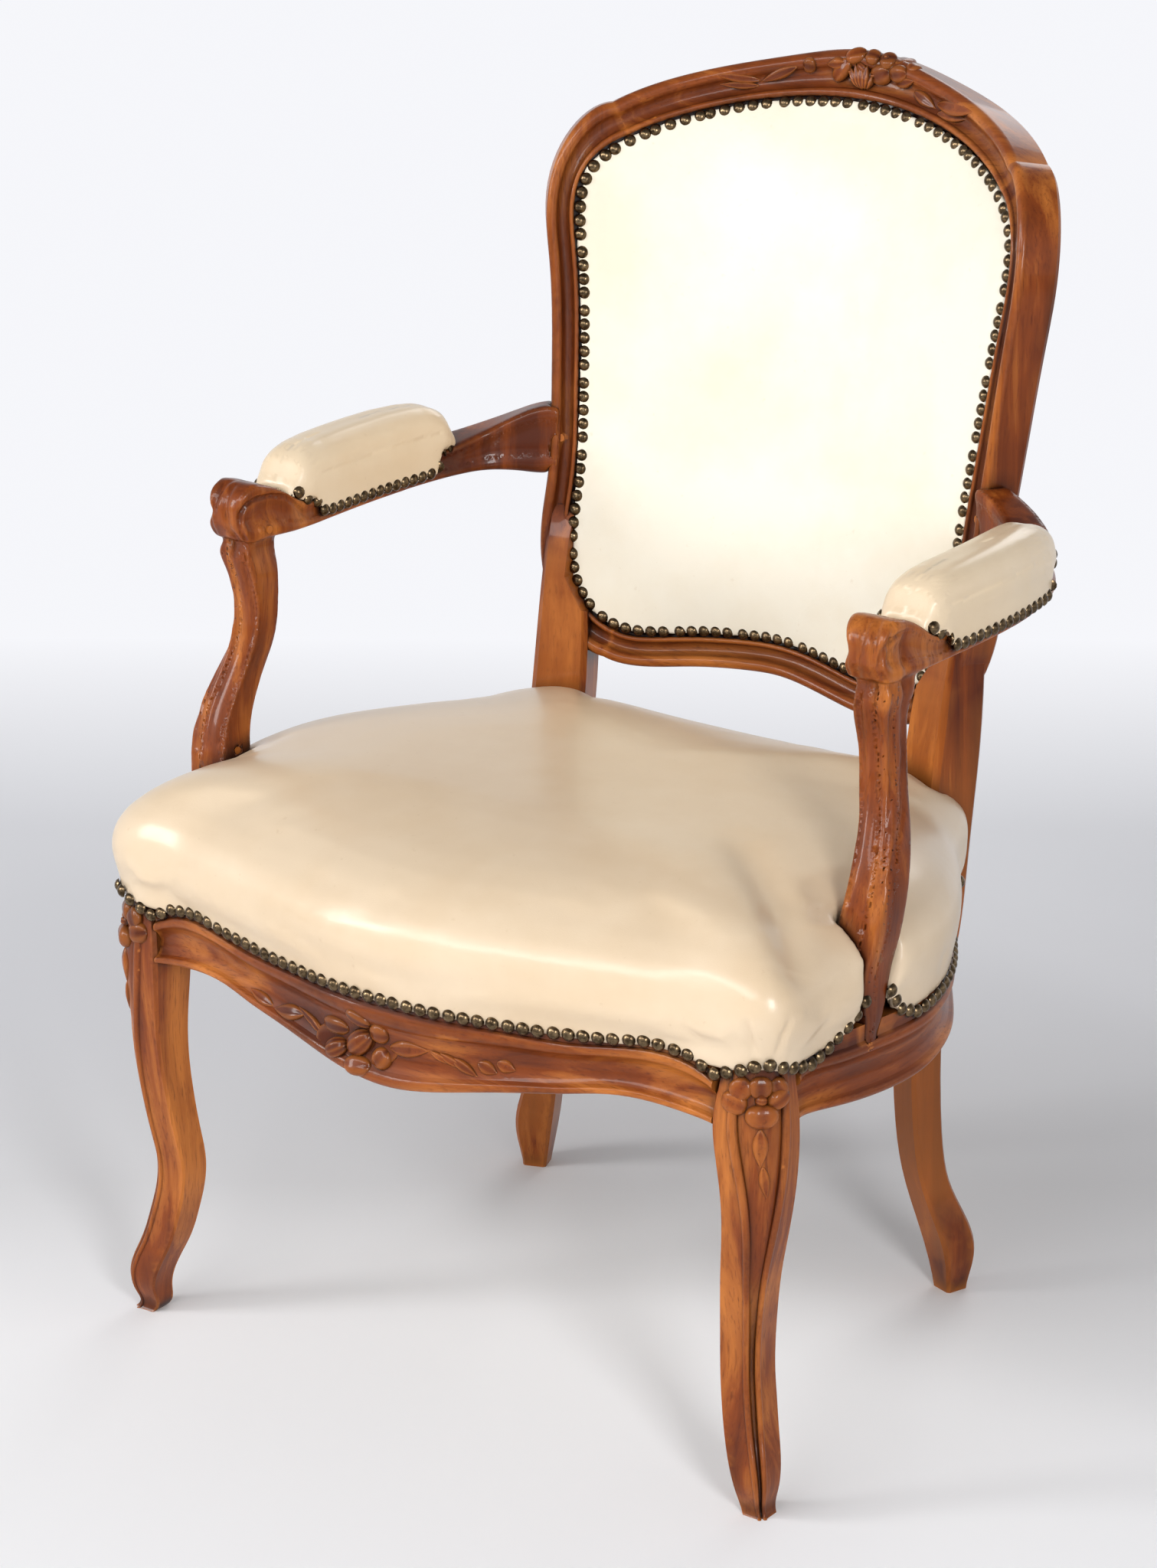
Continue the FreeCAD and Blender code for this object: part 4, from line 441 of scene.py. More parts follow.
# Name, place, aim, width, height and watts
LAMPS = (
    ("left_softbox", (-2.2, -2.3, 1.6), (0, 0, 0.45), 0.7, 1.1, 36),
    ("right_softbox", (2.6, -2.0, 1.7), (0, 0, 0.45), 0.7, 1.1, 52),
    ("front_strip", (-0.4, -2.6, 2.2), (0, 0, 0.45), 3.0, 0.5, 45),
    ("rear_softbox", (-0.6, 2.8, 2.2), (0, 0, 0.5), 1.6, 1.2, 18),
)


def seen_ray(tree):
    """1 for what the camera sees, straight, in a reflection or through glass."""
    path = add(tree, "ShaderNodeLightPath")
    rays = {0: path.outputs["Is Camera Ray"], 1: path.outputs["Is Glossy Ray"]}
    straight = add(tree, "ShaderNodeMath", rays, operation="MAXIMUM")
    return add(tree, "ShaderNodeMath", {0: straight.outputs[0], 1: path.outputs["Is Transmission Ray"]},
               operation="MAXIMUM").outputs[0]


def studio():
    """A pale floor that runs into a bright background, as the camera sees it."""
    bpy.ops.object.select_all(action="DESELECT")
    bpy.ops.mesh.primitive_plane_add(size=FLOOR_REACH)
    floor = bpy.context.object
    floor.name = "floor"
    material, tree, shader = new_material("pale_floor")
    ahead = CAMERA_TURN @ Vector((0, 0, -1))
    ahead = Vector((ahead.x, ahead.y, 0)).normalized()
    place = add(tree, "ShaderNodeTexCoord").outputs["Object"]
    along = add(tree, "ShaderNodeVectorMath", {0: place, 1: ahead}, operation="DOT_PRODUCT")
    along = along.outputs["Value"]
    start = CAMERA_PLACE.dot(ahead)
    share = add(tree, "ShaderNodeMapRange", {"Value": along, "From Min": start,
                                             "From Max": start + FLOOR_FAR})
    # Painted shade: the ramp darkens the floor in a band under and just behind the chair's rear
    tone = ramp(tree, share.outputs[0], FLOOR_TONES)
    tree.links.new(tone, shader.inputs["Base Color"])
    preset(shader, {"Roughness": 0.7})
    far = add(tree, "ShaderNodeMapRange", {"Value": along, "From Min": start + GLOW_FROM,
                                           "From Max": start + GLOW_TO})
    glow = add(tree, "ShaderNodeMath", {0: far.outputs[0], 1: seen_ray(tree)}, operation="MULTIPLY")
    light = add(tree, "ShaderNodeEmission", {"Color": tone, "Strength": 1.0})
    looks = {0: glow.outputs[0], 1: shader.outputs[0], 2: light.outputs[0]}
    mixed = add(tree, "ShaderNodeMixShader", looks)
    tree.links.new(mixed.outputs[0], tree.nodes["Material Output"].inputs["Surface"])
    dress(floor, material)


def softbox(name, place, aim, width, height, power):
    data = bpy.data.lights.new(name, "AREA")
    data.shape = "RECTANGLE"
    data.size = width
    data.size_y = height
    data.energy = power
    lamp = bpy.data.objects.new(name, data)
    lamp.location = place
    lamp.rotation_euler = (Vector(aim) - Vector(place)).to_track_quat("-Z", "Y").to_euler()
    bpy.context.scene.collection.objects.link(lamp)


def lights():
    """The world's light, and its brighter look to the camera, with four area lamps."""
    world = bpy.data.worlds.new("studio")
    world.use_nodes = True
    tree = world.node_tree
    surround = tree.nodes["Background"]
    preset(surround, {"Color": WORLD_COLOUR, "Strength": WORLD_STRENGTH})
    way = add(tree, "ShaderNodeTexCoord").outputs["Generated"]
    height = add(tree, "ShaderNodeSeparateXYZ", {0: way}).outputs["Z"]
    shown = add(tree, "ShaderNodeBackground", {"Color": ramp(tree, height, SKY_TONES), "Strength": 1.0})
    looks = {0: seen_ray(tree), 1: surround.outputs[0], 2: shown.outputs[0]}
    mixed = add(tree, "ShaderNodeMixShader", looks)
    tree.links.new(mixed.outputs[0], tree.nodes["World Output"].inputs["Surface"])
    bpy.context.scene.world = world
    for lamp in LAMPS:
        softbox(*lamp)


# Picking, copying and placing

POINTS_MEET = 1e-5


def mode(name):
    bpy.ops.object.mode_set(mode=name)


def alone(piece):
    """Only this piece is selected and active."""
    bpy.ops.object.select_all(action="DESELECT")
    piece.select_set(True)
    bpy.context.view_layer.objects.active = piece


def pick(piece, test):
    """Edit mode with only the points chosen that pass the test."""
    mode("EDIT")
    bpy.ops.mesh.select_mode(type="VERT")
    bpy.ops.mesh.select_all(action="DESELECT")
    mode("OBJECT")
    for point in piece.data.vertices:
        point.select = test(point)
    mode("EDIT")


def finish_modifier(piece, kind, **settings):
    alone(piece)
    modifier = piece.modifiers.new(kind.lower(), kind)
    for label, value in settings.items():
        setattr(modifier, label, value)
    bpy.ops.object.modifier_apply(modifier=modifier.name)


def shaded_smooth(piece):
    alone(piece)
    bpy.ops.object.shade_smooth()


def smoothed(piece, levels=1):
    if levels:
        finish_modifier(piece, "SUBSURF", levels=levels, render_levels=levels)
    shaded_smooth(piece)


def joined(name, pieces):
    alone(pieces[0])
    for piece in pieces:
        piece.select_set(True)
    bpy.ops.object.join()
    whole = bpy.context.object
    whole.name = name
    whole.data.name = name
    return whole


def finished(piece, material):
    """The piece gets its finish and rides on the chair."""
    dress(piece, material)
    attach(piece, BODY)


def mirrored(piece, name):
    """The same piece on the other side of the chair."""
    twin = piece.copy()
    twin.data = piece.data.copy()
    twin.name = name
    bpy.context.scene.collection.objects.link(twin)
    twin.data.transform(Matrix.Scale(-1, 4, Vector((1, 0, 0))))
    alone(twin)
    mode("EDIT")
    bpy.ops.mesh.select_all(action="SELECT")
    bpy.ops.mesh.flip_normals()
    mode("OBJECT")
    return twin


def merged_copy(label):
    """A copy of a solid's mesh with its triangles joined up."""
    piece = bpy.data.objects.new(label + "_form", nodes[label].data.copy())
    bpy.context.scene.collection.objects.link(piece)
    alone(piece)
    mode("EDIT")
    bpy.ops.mesh.select_all(action="SELECT")
    bpy.ops.mesh.remove_doubles(threshold=POINTS_MEET)
    mode("OBJECT")
    return piece


def surface_of(piece):
    """The piece's surface, for finding places on it."""
    return BVHTree.FromObject(piece, bpy.context.evaluated_depsgraph_get())


def carrier_of(label):
    """The surface of a solid, for finding places on it."""
    mesh = nodes[label].data
    points = [point.co.copy() for point in mesh.vertices]
    return BVHTree.FromPolygons(points, [list(face.vertices) for face in mesh.polygons])


# How far from the camera a line of sight that just misses the wood is searched for it
SEARCH_FROM = 3.0
SEARCH_TO = 4.1
SEARCH_STEPS = 221


def on_carrier(carrier, pixel):
    """Place and outward way on the wood where the photograph shows this pixel."""
    way = sight(pixel)
    place, facing, face, far = carrier.ray_cast(CAMERA_PLACE, way)
    if place is None:
        near = []
        for step in range(SEARCH_STEPS):
            along = SEARCH_FROM + (SEARCH_TO - SEARCH_FROM) * step / (SEARCH_STEPS - 1)
            found = carrier.find_nearest(CAMERA_PLACE + way * along)
            near.append((found[3], step, found))
        place, facing = min(near)[2][:2]
    if facing.dot(way) > 0:
        facing = -facing
    return place, facing


def seen_places(carrier, pixels):
    """Places along these pixels, each with the outward way there, evened out along the line."""
    found = [on_carrier(carrier, pixel) for pixel in pixels]
    evened = []
    for number, (place, facing) in enumerate(found):
        near = found[max(0, number - 1):number + 2]
        evened.append((place, sum((way for spot, way in near), Vector()).normalized()))
    return evened


# Carving blanks: one long, one wide and one high, from the stalk along +X

RING_POINTS = 12
# Place along the blank, width and height of each ring
LEAF_SHARES = (
    (0.0, 0.14, 0.30), (0.10, 0.50, 0.65), (0.30, 0.92, 1.0), (0.52, 0.96, 0.95), (0.76, 0.60, 0.65),
    (0.93, 0.20, 0.35), (1.0, 0.03, 0.10),
)
PETAL_SHARES = (
    (0.0, 0.30, 0.35), (0.10, 0.68, 0.75), (0.30, 0.96, 1.0), (0.60, 1.0, 1.0), (0.84, 0.80, 0.80),
    (0.96, 0.45, 0.50), (1.0, 0.12, 0.20),
)
NAIL_SHARES = (
    (0.0, 0.94, 0.94), (0.16, 1.0, 1.0), (0.45, 0.88, 0.88), (0.72, 0.64, 0.64), (0.92, 0.34, 0.34),
    (1.0, 0.10, 0.10),
)
VEIN_SHARE = 0.20
DISH_SHARE = 0.14
# A blank's upper middle line lies above this height and within this reach
LINE_ABOVE = 0.2
LINE_REACH = 0.05


def spindle(name, shares, sunk=0.0, levels=1):
    """A closed blank drawn out ring by ring, with its upper middle line sunk."""
    bpy.ops.object.select_all(action="DESELECT")
    bpy.ops.mesh.primitive_circle_add(
        vertices=RING_POINTS, radius=0.5, fill_type="NGON", rotation=(0, math.pi / 2, 0)
    )
    blank = bpy.context.object
    blank.name = name
    bpy.ops.object.transform_apply(location=False, rotation=True, scale=False)
    mode("EDIT")
    bpy.ops.mesh.select_all(action="SELECT")
    bpy.ops.transform.resize(value=(1, shares[0][1], shares[0][2]), center_override=(0, 0, 0))
    for (here, wide, high), (there, wider, higher) in zip(shares, shares[1:]):
        bpy.ops.mesh.extrude_region_move(TRANSFORM_OT_translate={"value": (there - here, 0, 0)})
        bpy.ops.transform.resize(value=(1, wider / wide, higher / high), center_override=(there, 0, 0))
    pick(blank, lambda point: point.co.z > LINE_ABOVE and abs(point.co.y) < LINE_REACH)
    bpy.ops.transform.translate(value=(0, 0, -sunk))
    bpy.ops.mesh.select_all(action="SELECT")
    bpy.ops.mesh.normals_make_consistent(inside=False)
    mode("OBJECT")
    smoothed(blank, levels)
    return blank


BUD_POINTS = 20
BUD_RINGS = 10
BUD_GROOVE_SHARE = 0.84
BUD_POLE_REACH = 0.02


def bud_blank():
    """A ribbed ball, its poles along X."""
    bpy.ops.object.select_all(action="DESELECT")
    bpy.ops.mesh.primitive_uv_sphere_add(
        segments=BUD_POINTS, ring_count=BUD_RINGS, radius=0.5, rotation=(0, math.pi / 2, 0)
    )
    blank = bpy.context.object
    blank.name = "bud_blank"
    bpy.ops.object.transform_apply(location=False, rotation=True, scale=False)

    def in_groove(point):
        up, side = point.co.z, point.co.y
        around = math.atan2(up, side) / math.tau * BUD_POINTS
        return math.hypot(up, side) > BUD_POLE_REACH and round(around) % 2 == 1

    pick(blank, in_groove)
    bpy.ops.transform.resize(value=(1, BUD_GROOVE_SHARE, BUD_GROOVE_SHARE), center_override=(0, 0, 0))
    mode("OBJECT")
    blank.data.transform(Matrix.Translation((0.5, 0, 0)))
    smoothed(blank)
    return blank


# How far a blank's middle lies below the wood, in shares of its height
SUNK_SHARE = 0.06
# What the measured widths and heights of the carving are enlarged by
FULLNESS = 1.28


def set_on(blank, carrier, first, last, width, height):
    """A copy of a blank from one pixel to another of the photograph, bedded in the wood between them."""
    start, facing = on_carrier(carrier, first)
    end, facing_there = on_carrier(carrier, last)
    along = end - start
    out = (facing + facing_there).normalized()
    side = out.cross(along).normalized()
    out = along.cross(side).normalized()
    copy = blank.copy()
    copy.data = blank.data.copy()
    bpy.context.scene.collection.objects.link(copy)
    turn = Matrix((along, side * width, out * height)).transposed().to_4x4()
    copy.data.transform(Matrix.Translation(start - out * height * SUNK_SHARE) @ turn)
    return copy


def carving(name, carrier, rows):
    """All the leaves, petals and buds of one carving as one piece."""
    scale = FULLNESS * MM
    copies = []
    for kind, first, last, width, height in rows:
        copies.append(set_on(BLANKS[kind], carrier, first, last, width * scale, height * scale))
    return joined(name, copies)


BLANKS = {
    "leaf": spindle("leaf_blank", LEAF_SHARES, VEIN_SHARE),
    "petal": spindle("petal_blank", PETAL_SHARES, DISH_SHARE),
    "bud": bud_blank(),
    "nail": spindle("nail_blank", NAIL_SHARES, levels=0),
}

# Carvings: kind, first and last pixel in the photograph, width and height in millimetres

CREST_ROWS = (
    ("bud", (1108, 91), (1117, 91), 4, 9),
    ("bud", (1139, 96), (1148, 96), 4, 11),
    ("bud", (1155, 79), (1164, 78), 4, 11),
    ("leaf", (994, 105), (935, 98), 7, 5),
    ("leaf", (992, 112), (940, 110), 6, 5),
    ("leaf", (1041, 87), (994, 107), 8, 5),
    ("petal", (1066, 87), (1049, 84), 11, 6),
    ("petal", (1090, 105), (1109, 77), 11, 8),
    ("leaf", (1106, 82), (1080, 84), 9, 8),
    ("petal", (1105, 76), (1133, 68), 11, 9),
    ("petal", (1132, 72), (1150, 76), 11, 9),
    ("petal", (1149, 80), (1172, 77), 13, 9),
    ("petal", (1139, 102), (1162, 94), 14, 9),
    ("petal", (1163, 98), (1184, 96), 12, 9),
    ("petal", (1172, 84), (1192, 80), 12, 9),
    ("petal", (1186, 92), (1202, 88), 11, 9),
    ("leaf", (1170, 110), (1194, 106), 8, 6),
    ("bud", (1137, 100), (1120, 82), 8, 8),
    ("leaf", (1122, 115), (1109, 86), 6, 7),
    ("leaf", (1124, 116), (1117, 83), 6, 8),
    ("leaf", (1126, 117), (1125, 82), 6, 8),
    ("leaf", (1129, 117), (1133, 85), 6, 8),
    ("leaf", (1132, 117), (1140, 92), 6, 7),
    ("leaf", (1194, 119), (1222, 142), 9, 6),
    ("leaf", (1224, 136), (1271, 147), 11, 6),
    ("leaf", (1224, 148), (1262, 156), 8, 4),
)

FRONT_ROWS = (
    ("petal", (412, 1352), (520, 1374), 26, 6),
    ("leaf", (357, 1314), (326, 1290), 8, 5),
    ("leaf", (397, 1325), (358, 1317), 11, 7),
    ("leaf", (423, 1347), (390, 1314), 6, 6),
    ("leaf", (421, 1350), (400, 1320), 6, 6),
    ("petal", (424, 1333), (456, 1345), 12, 9),
    ("petal", (452, 1320), (484, 1340), 10, 9),
    ("petal", (484, 1346), (508, 1354), 14, 10),
    ("petal", (490, 1392), (508, 1372), 14, 11),
    ("petal", (450, 1388), (484, 1394), 13, 10),
    ("bud", (456, 1372), (486, 1350), 17, 15),
    ("bud", (425, 1373), (456, 1362), 14, 13),
    ("leaf", (509, 1368), (561, 1373), 12, 8),
    ("leaf", (562, 1373), (592, 1391), 5, 5),
    ("leaf", (574, 1376), (609, 1398), 6, 5),
    ("leaf", (590, 1382), (624, 1407), 7, 5),
    ("leaf", (624, 1388), (650, 1403), 9, 5),
    ("leaf", (649, 1388), (674, 1399), 9, 5),
)

KNEE_ROWS = (
    ("petal", (977, 1410), (958, 1434), 14, 8),
    ("petal", (1011, 1409), (1022, 1434), 12, 8),
    ("petal", (994, 1406), (993, 1436), 14, 9),
    ("petal", (976, 1447), (943, 1432), 15, 12),
    ("petal", (1003, 1445), (1030, 1424), 13, 12),
    ("petal", (996, 1442), (995, 1475), 20, 14),
    ("leaf", (969, 1424), (1018, 1421), 9, 9),
    ("bud", (985, 1437), (1003, 1437), 9, 11),
    ("leaf", (993, 1475), (993, 1526), 10, 8),
    ("leaf", (996, 1524), (1001, 1566), 7, 6),
)

# Grooves between the reeds of the arm support, over the volute and down to its foot
REED_GROOVES = (
    ((1172, 792), (1158, 799), (1148, 812), (1143, 830), (1141, 850), (1142, 895), (1143, 946), (1146, 1022),
     (1144, 1090), (1137, 1140), (1126, 1190)),
    ((1186, 795), (1175, 803), (1168, 816), (1164, 834), (1163, 856), (1164, 895), (1165, 946), (1166, 1022),
     (1158, 1111), (1148, 1160), (1134, 1199)),
    ((1199, 801), (1190, 810), (1185, 824), (1182, 842), (1181, 866), (1182, 895), (1181, 982), (1180, 1056),
     (1171, 1111), (1157, 1160), (1140, 1200)),
    ((1134, 812), (1127, 830), (1122, 850), (1119, 880), (1120, 915), (1124, 982), (1125, 1056), (1117, 1120),
     (1106, 1178)),
)
# The scroll on the inner side of the volute: its edge, the sunk ground inside it, and the peg
SCROLL_EDGE = ((321, 706), (313, 688), (314, 672), (322, 660), (336, 652), (356, 648), (374, 649), (386, 658),
               (396, 672))
SCROLL_GROUND = ((334, 700), (330, 682), (341, 667), (362, 660), (376, 668))
SCROLL_PEG = (343, 692)


def carved_ornament():
    crest = carving("crest_carving", carrier_of("crest_rail"), CREST_ROWS)
    front = carving("front_rail_carving", carrier_of("front_seat_rail"), FRONT_ROWS)
    knee = carving("knee_carving_right", carrier_of("front_leg_right"), KNEE_ROWS)
    for piece in (crest, front, knee, mirrored(knee, "knee_carving_left")):
        finished(piece, carved_wood)


# Upholstery: each leather starts as the outer skin of its solid; the seat's is blown up above its nails

PUFF_FRAMES = 20
PUFF_SETTINGS = {"quality": 6, "mass": 0.4, "tension_stiffness": 25, "compression_stiffness": 25,
                 "bending_stiffness": 3, "use_pressure": True, "vertex_group_mass": "held"}


def puffed(piece, held, pressure, most):
    """Swells the piece, with its held points still and no point moved further than this."""
    group = piece.vertex_groups.new(name="held")
    group.add([point.index for point in piece.data.vertices if held(point.co)], 1.0, "REPLACE")
    before = [point.co.copy() for point in piece.data.vertices]
    modifier = piece.modifiers.new("cloth", "CLOTH")
    for label, value in PUFF_SETTINGS.items():
        setattr(modifier.settings, label, value)
    modifier.settings.uniform_pressure_force = pressure
    modifier.settings.effector_weights.gravity = 0
    modifier.collision_settings.use_collision = False
    scene = bpy.context.scene
    for step in range(1, PUFF_FRAMES + 1):
        scene.frame_set(step)
    shape = piece.evaluated_get(bpy.context.evaluated_depsgraph_get()).data
    moved = [point.co.copy() for point in shape.vertices]
    piece.modifiers.remove(modifier)
    scene.frame_set(1)
    for point, start, end in zip(piece.data.vertices, before, moved):
        step = end - start
        point.co = start + step * min(1.0, most / max(step.length, POINTS_MEET))
    piece.vertex_groups.clear()


RELAX_FACTOR = 0.5


def relaxed(piece, repeat):
    finish_modifier(piece, "SMOOTH", factor=RELAX_FACTOR, iterations=repeat)


# A point that faces the groove's outward way this much takes its full depth
FACING_FULL = 0.6
# How many widths a groove reaches, and where along the half wave of its depth it starts
CREASE_REACH = 3
FADE_START = 0.12
FADE_RUN = 0.85


def crease(piece, line, width, depth):
    """A soft valley along a line of places and outward ways, fading towards its ends."""
    spots = [place for place, way in line]
    reach = CREASE_REACH * width
    middle = sum(spots, Vector()) / len(spots)
    around = max((spot - middle).length for spot in spots) + reach
    sunk = []
    for point in piece.data.vertices:
        if (point.co - middle).length > around:
            continue
        best, along, way = reach, 0, None
        for number, (start, end) in enumerate(zip(spots, spots[1:])):
            run = end - start
            share = max(0.0, min(1.0, (point.co - start).dot(run) / run.length_squared))
            far = (point.co - start - run * share).length
            if far < best:
                best, along = far, (number + share) / (len(spots) - 1)
                way = line[number][1].lerp(line[number + 1][1], share).normalized()
        if way and point.normal.dot(way) > 0:
            fade = math.sqrt(math.sin(math.pi * min(1.0, FADE_START + FADE_RUN * along)))
            facing = min(1.0, point.normal.dot(way) / FACING_FULL)
            valley = math.exp(-((best / width) ** 2))
            sunk.append((point.index, way * (depth * fade * facing * valley)))
    for number, step in sunk:
        piece.data.vertices[number].co -= step


def nail_places(label):
    """The middle of each nail in a row of them."""
    row = merged_copy(label)
    chief = list(range(len(row.data.vertices)))

    def head(number):
        while chief[number] != number:
            chief[number] = chief[chief[number]]
            number = chief[number]
        return number

    for edge in row.data.edges:
        first, second = (head(number) for number in edge.vertices)
        chief[second] = first
    heads = {}
    for point in row.data.vertices:
        heads.setdefault(head(point.index), []).append(point.co.copy())
    bpy.data.objects.remove(row)
    return [sum(spots, Vector()) / len(spots) for spots in heads.values()]


# The hem lies this far below the nails; what hangs lower keeps this share of its drop
HEM_BELOW = 0.0035
HEM_KEPT = 0.05
HEM_REACH = 0.016


def hemmed(piece, nails):
    """Draws up what hangs below the row of nails."""
    row = KDTree(len(nails))
    for number, nail in enumerate(nails):
        row.insert((nail.x, nail.y, 0), number)
    row.balance()
    for point in piece.data.vertices:
        near = row.find_n((point.co.x, point.co.y, 0), 2)
        if near[0][2] > HEM_REACH:
            continue
        weights = [1 / (far + POINTS_MEET) for place, number, far in near]
        heights = [nails[number].z for place, number, far in near]
        line = sum(height * weight for height, weight in zip(heights, weights)) / sum(weights) - HEM_BELOW
        if point.co.z < line:
            point.co.z = line - (line - point.co.z) * HEM_KEPT


def outer_skin(label, looks_out, thickness):
    """The outward-looking skin of a thin cover, thickened inwards."""
    piece = merged_copy(label)
    mode("EDIT")
    bpy.ops.mesh.select_mode(type="FACE")
    bpy.ops.mesh.select_all(action="DESELECT")
    mode("OBJECT")
    for face in piece.data.polygons:
        face.select = not looks_out(face.center, face.normal)
    mode("EDIT")
    bpy.ops.mesh.delete(type="FACE")
    mode("OBJECT")
    finish_modifier(piece, "SOLIDIFY", thickness=thickness, offset=-1)
    return piece


def remeshed(name, pieces, voxel):
    form = joined(name, pieces)
    form.data.remesh_voxel_size = voxel
    bpy.ops.object.voxel_remesh()
    return form


# The outer side of the seat's leather looks away from this point
SEAT_CORE = Vector((0, -0.06, 0.30))
SEAT_LAYER = 0.008
SEAT_VOXEL = 0.005
SEAT_RELAXED = 4
SEAT_SETTLED = 3
# The leather is held below this height, and blown up by at most this much above it
SEAT_HELD = 0.352
SEAT_SWELL = 0.003
SEAT_PRESSURE = 3.0
# Small pleats at the corner by the front leg, and the broad fold that runs to the support
PLEATS = (((975, 1336), (980, 1352), (986, 1378)), ((1032, 1334), (1024, 1352), (1014, 1378)))
PLEAT_WIDTH = 0.0022
PLEAT_DEPTH = 0.0025
NOTCH_FOLD = ((1040, 1264), (1033, 1228), (1014, 1180), (990, 1130), (968, 1096))
FOLD_WIDTH = 0.016
FOLD_DEPTH = 0.007


def seat():
    skin = outer_skin("seat_cover", lambda place, normal: normal.dot(place - SEAT_CORE) > 0, SEAT_LAYER)
    piece = remeshed("seat_leather", [skin, merged_copy("seat_stuffing")], SEAT_VOXEL)
    relaxed(piece, SEAT_RELAXED)
    puffed(piece, lambda place: place.z < SEAT_HELD, SEAT_PRESSURE, SEAT_SWELL)
    relaxed(piece, SEAT_SETTLED)
    smoothed(piece)
    carrier = surface_of(piece)
    for pixels in PLEATS:
        crease(piece, seen_places(carrier, pixels), PLEAT_WIDTH, PLEAT_DEPTH)
    crease(piece, seen_places(carrier, NOTCH_FOLD), FOLD_WIDTH, FOLD_DEPTH)
    hemmed(piece, nail_places("seat_nails"))
    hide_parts("seat_cover", "seat_stuffing")
    finished(piece, seat_leather)


BACK_VOXEL = 0.003
BACK_LAYER = 0.005
BACK_RELAXED = 6
FACES_OUT = 0.5


def back_panels():
    for end, forward, material in (("front", -1, back_leather), ("rear", 1, rear_leather)):
        node = "back_cover_" + end
        skin = outer_skin(node, lambda place, normal: normal.y * forward > FACES_OUT, BACK_LAYER)
        piece = remeshed("back_leather_" + end, [skin], BACK_VOXEL)
        relaxed(piece, BACK_RELAXED)
        shaded_smooth(piece)
        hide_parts(node)
        finished(piece, material)


# The arm and its support, with the volute drawn in and the reeds and scrolls cut

WOOD_VOXEL = 0.0013
WOOD_WORN = 50
WOOD_RUBBED = 7
REED_WIDTH = 0.0024
REED_DEPTH = 0.0026
SCROLL_WIDTH = 0.0018
SCROLL_DEPTH = 0.0038
GROUND_WIDTH = 0.0065
GROUND_DEPTH = 0.0024
# The volute lies ahead of FROM and above LOW; it keeps SHARE of its length and loses NARROW of its width
VOLUTE_FROM = -0.118
VOLUTE_SHARE = 0.55
VOLUTE_LOW = 0.566
VOLUTE_HIGH = 0.590
VOLUTE_MIDDLE = 0.2795
VOLUTE_NARROW = 0.14
VOLUTE_NARROW_REACH = 0.030
PEG_WIDTH = 0.0075
PEG_HEIGHT = 0.0022


def eased(share):
    share = max(0.0, min(1.0, share))
    return share * share * (3 - 2 * share)


def reflected(line, across=0.0):
    """The same places and ways on the other side of an upright middle plane."""
    return [
        (Vector((2 * across - place.x, place.y, place.z)), Vector((-way.x, way.y, way.z)))
        for place, way in line
    ]


def drawn_in(piece):
    """Makes the volute shorter and narrower than the solid's."""
    for point in piece.data.vertices:
        place = point.co
        rise = eased((place.z - VOLUTE_LOW) / (VOLUTE_HIGH - VOLUTE_LOW))
        ahead = VOLUTE_FROM - place.y
        if rise > 0 and ahead > -VOLUTE_NARROW_REACH:
            narrow = VOLUTE_NARROW * rise * eased((ahead + VOLUTE_NARROW_REACH) / VOLUTE_NARROW_REACH)
            place.x = VOLUTE_MIDDLE + (place.x - VOLUTE_MIDDLE) * (1 - narrow)
        if rise > 0 and ahead > 0:
            place.y = VOLUTE_FROM - ahead * (1 - (1 - VOLUTE_SHARE) * rise)


def carved_arms():
    """Both arms with their supports; the right one is returned."""
    solids = [merged_copy("arm_right"), merged_copy("arm_support_right")]
    piece = remeshed("carved_arm_right", solids, WOOD_VOXEL)
    relaxed(piece, WOOD_WORN)
    drawn_in(piece)
    carrier = surface_of(piece)
    for pixels in REED_GROOVES:
        crease(piece, seen_places(carrier, pixels), REED_WIDTH, REED_DEPTH)
    twin = mirrored(piece, "carved_arm_left")
    other = surface_of(twin)
    bpy.data.objects.remove(twin)
    edge = reflected(seen_places(other, SCROLL_EDGE))
    ground = reflected(seen_places(other, SCROLL_GROUND))
    outer_edge, outer_ground = (reflected(line, VOLUTE_MIDDLE) for line in (edge, ground))
    for scroll, hollow in ((edge, ground), (outer_edge, outer_ground)):
        crease(piece, scroll, SCROLL_WIDTH, SCROLL_DEPTH)
        crease(piece, hollow, GROUND_WIDTH, GROUND_DEPTH)
    place, facing = reflected([on_carrier(other, SCROLL_PEG)])[0]
    peg = domed("scroll_peg", place - facing * PEG_HEIGHT, facing, PEG_WIDTH, PEG_HEIGHT)
    piece = remeshed("carved_arm_right", [piece], WOOD_VOXEL)
    relaxed(piece, WOOD_RUBBED)
    piece = joined("carved_arm_right", [piece, peg])
    bpy.ops.object.shade_smooth()
    for arm, side in ((piece, "right"), (mirrored(piece, "carved_arm_left"), "left")):
        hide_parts("arm_" + side, "arm_support_" + side)
        finished(arm, upright_wood)
    return piece


# The arm pads and their nails

ARM_VOXEL = 0.0024
ARM_LAYER = 0.004
ARM_CORE_DROP = 0.02
PAD_RELAXED = 10
PAD_SETTLED = 2
NAIL_SPACING = 0.0098
NAIL_WIDTH = 0.0098
NAIL_HEIGHT = 0.0034
NAIL_SINK_SHARE = 0.25
HEM_STATIONS = 120
HEM_BAND = 0.004
HEM_EVENED = 3
# The nails at the ends of a pad rise by LIFT, and none faces down
END_LIFT = 0.006
END_FROM = 0.70
LEAST_UP = 0.12
# How far above the wood the leather's underside is drawn down to it, and how far it sinks in
SETTLE_REACH = 0.014
SETTLE_FROM = 0.009
SETTLE_SINK = 0.0008


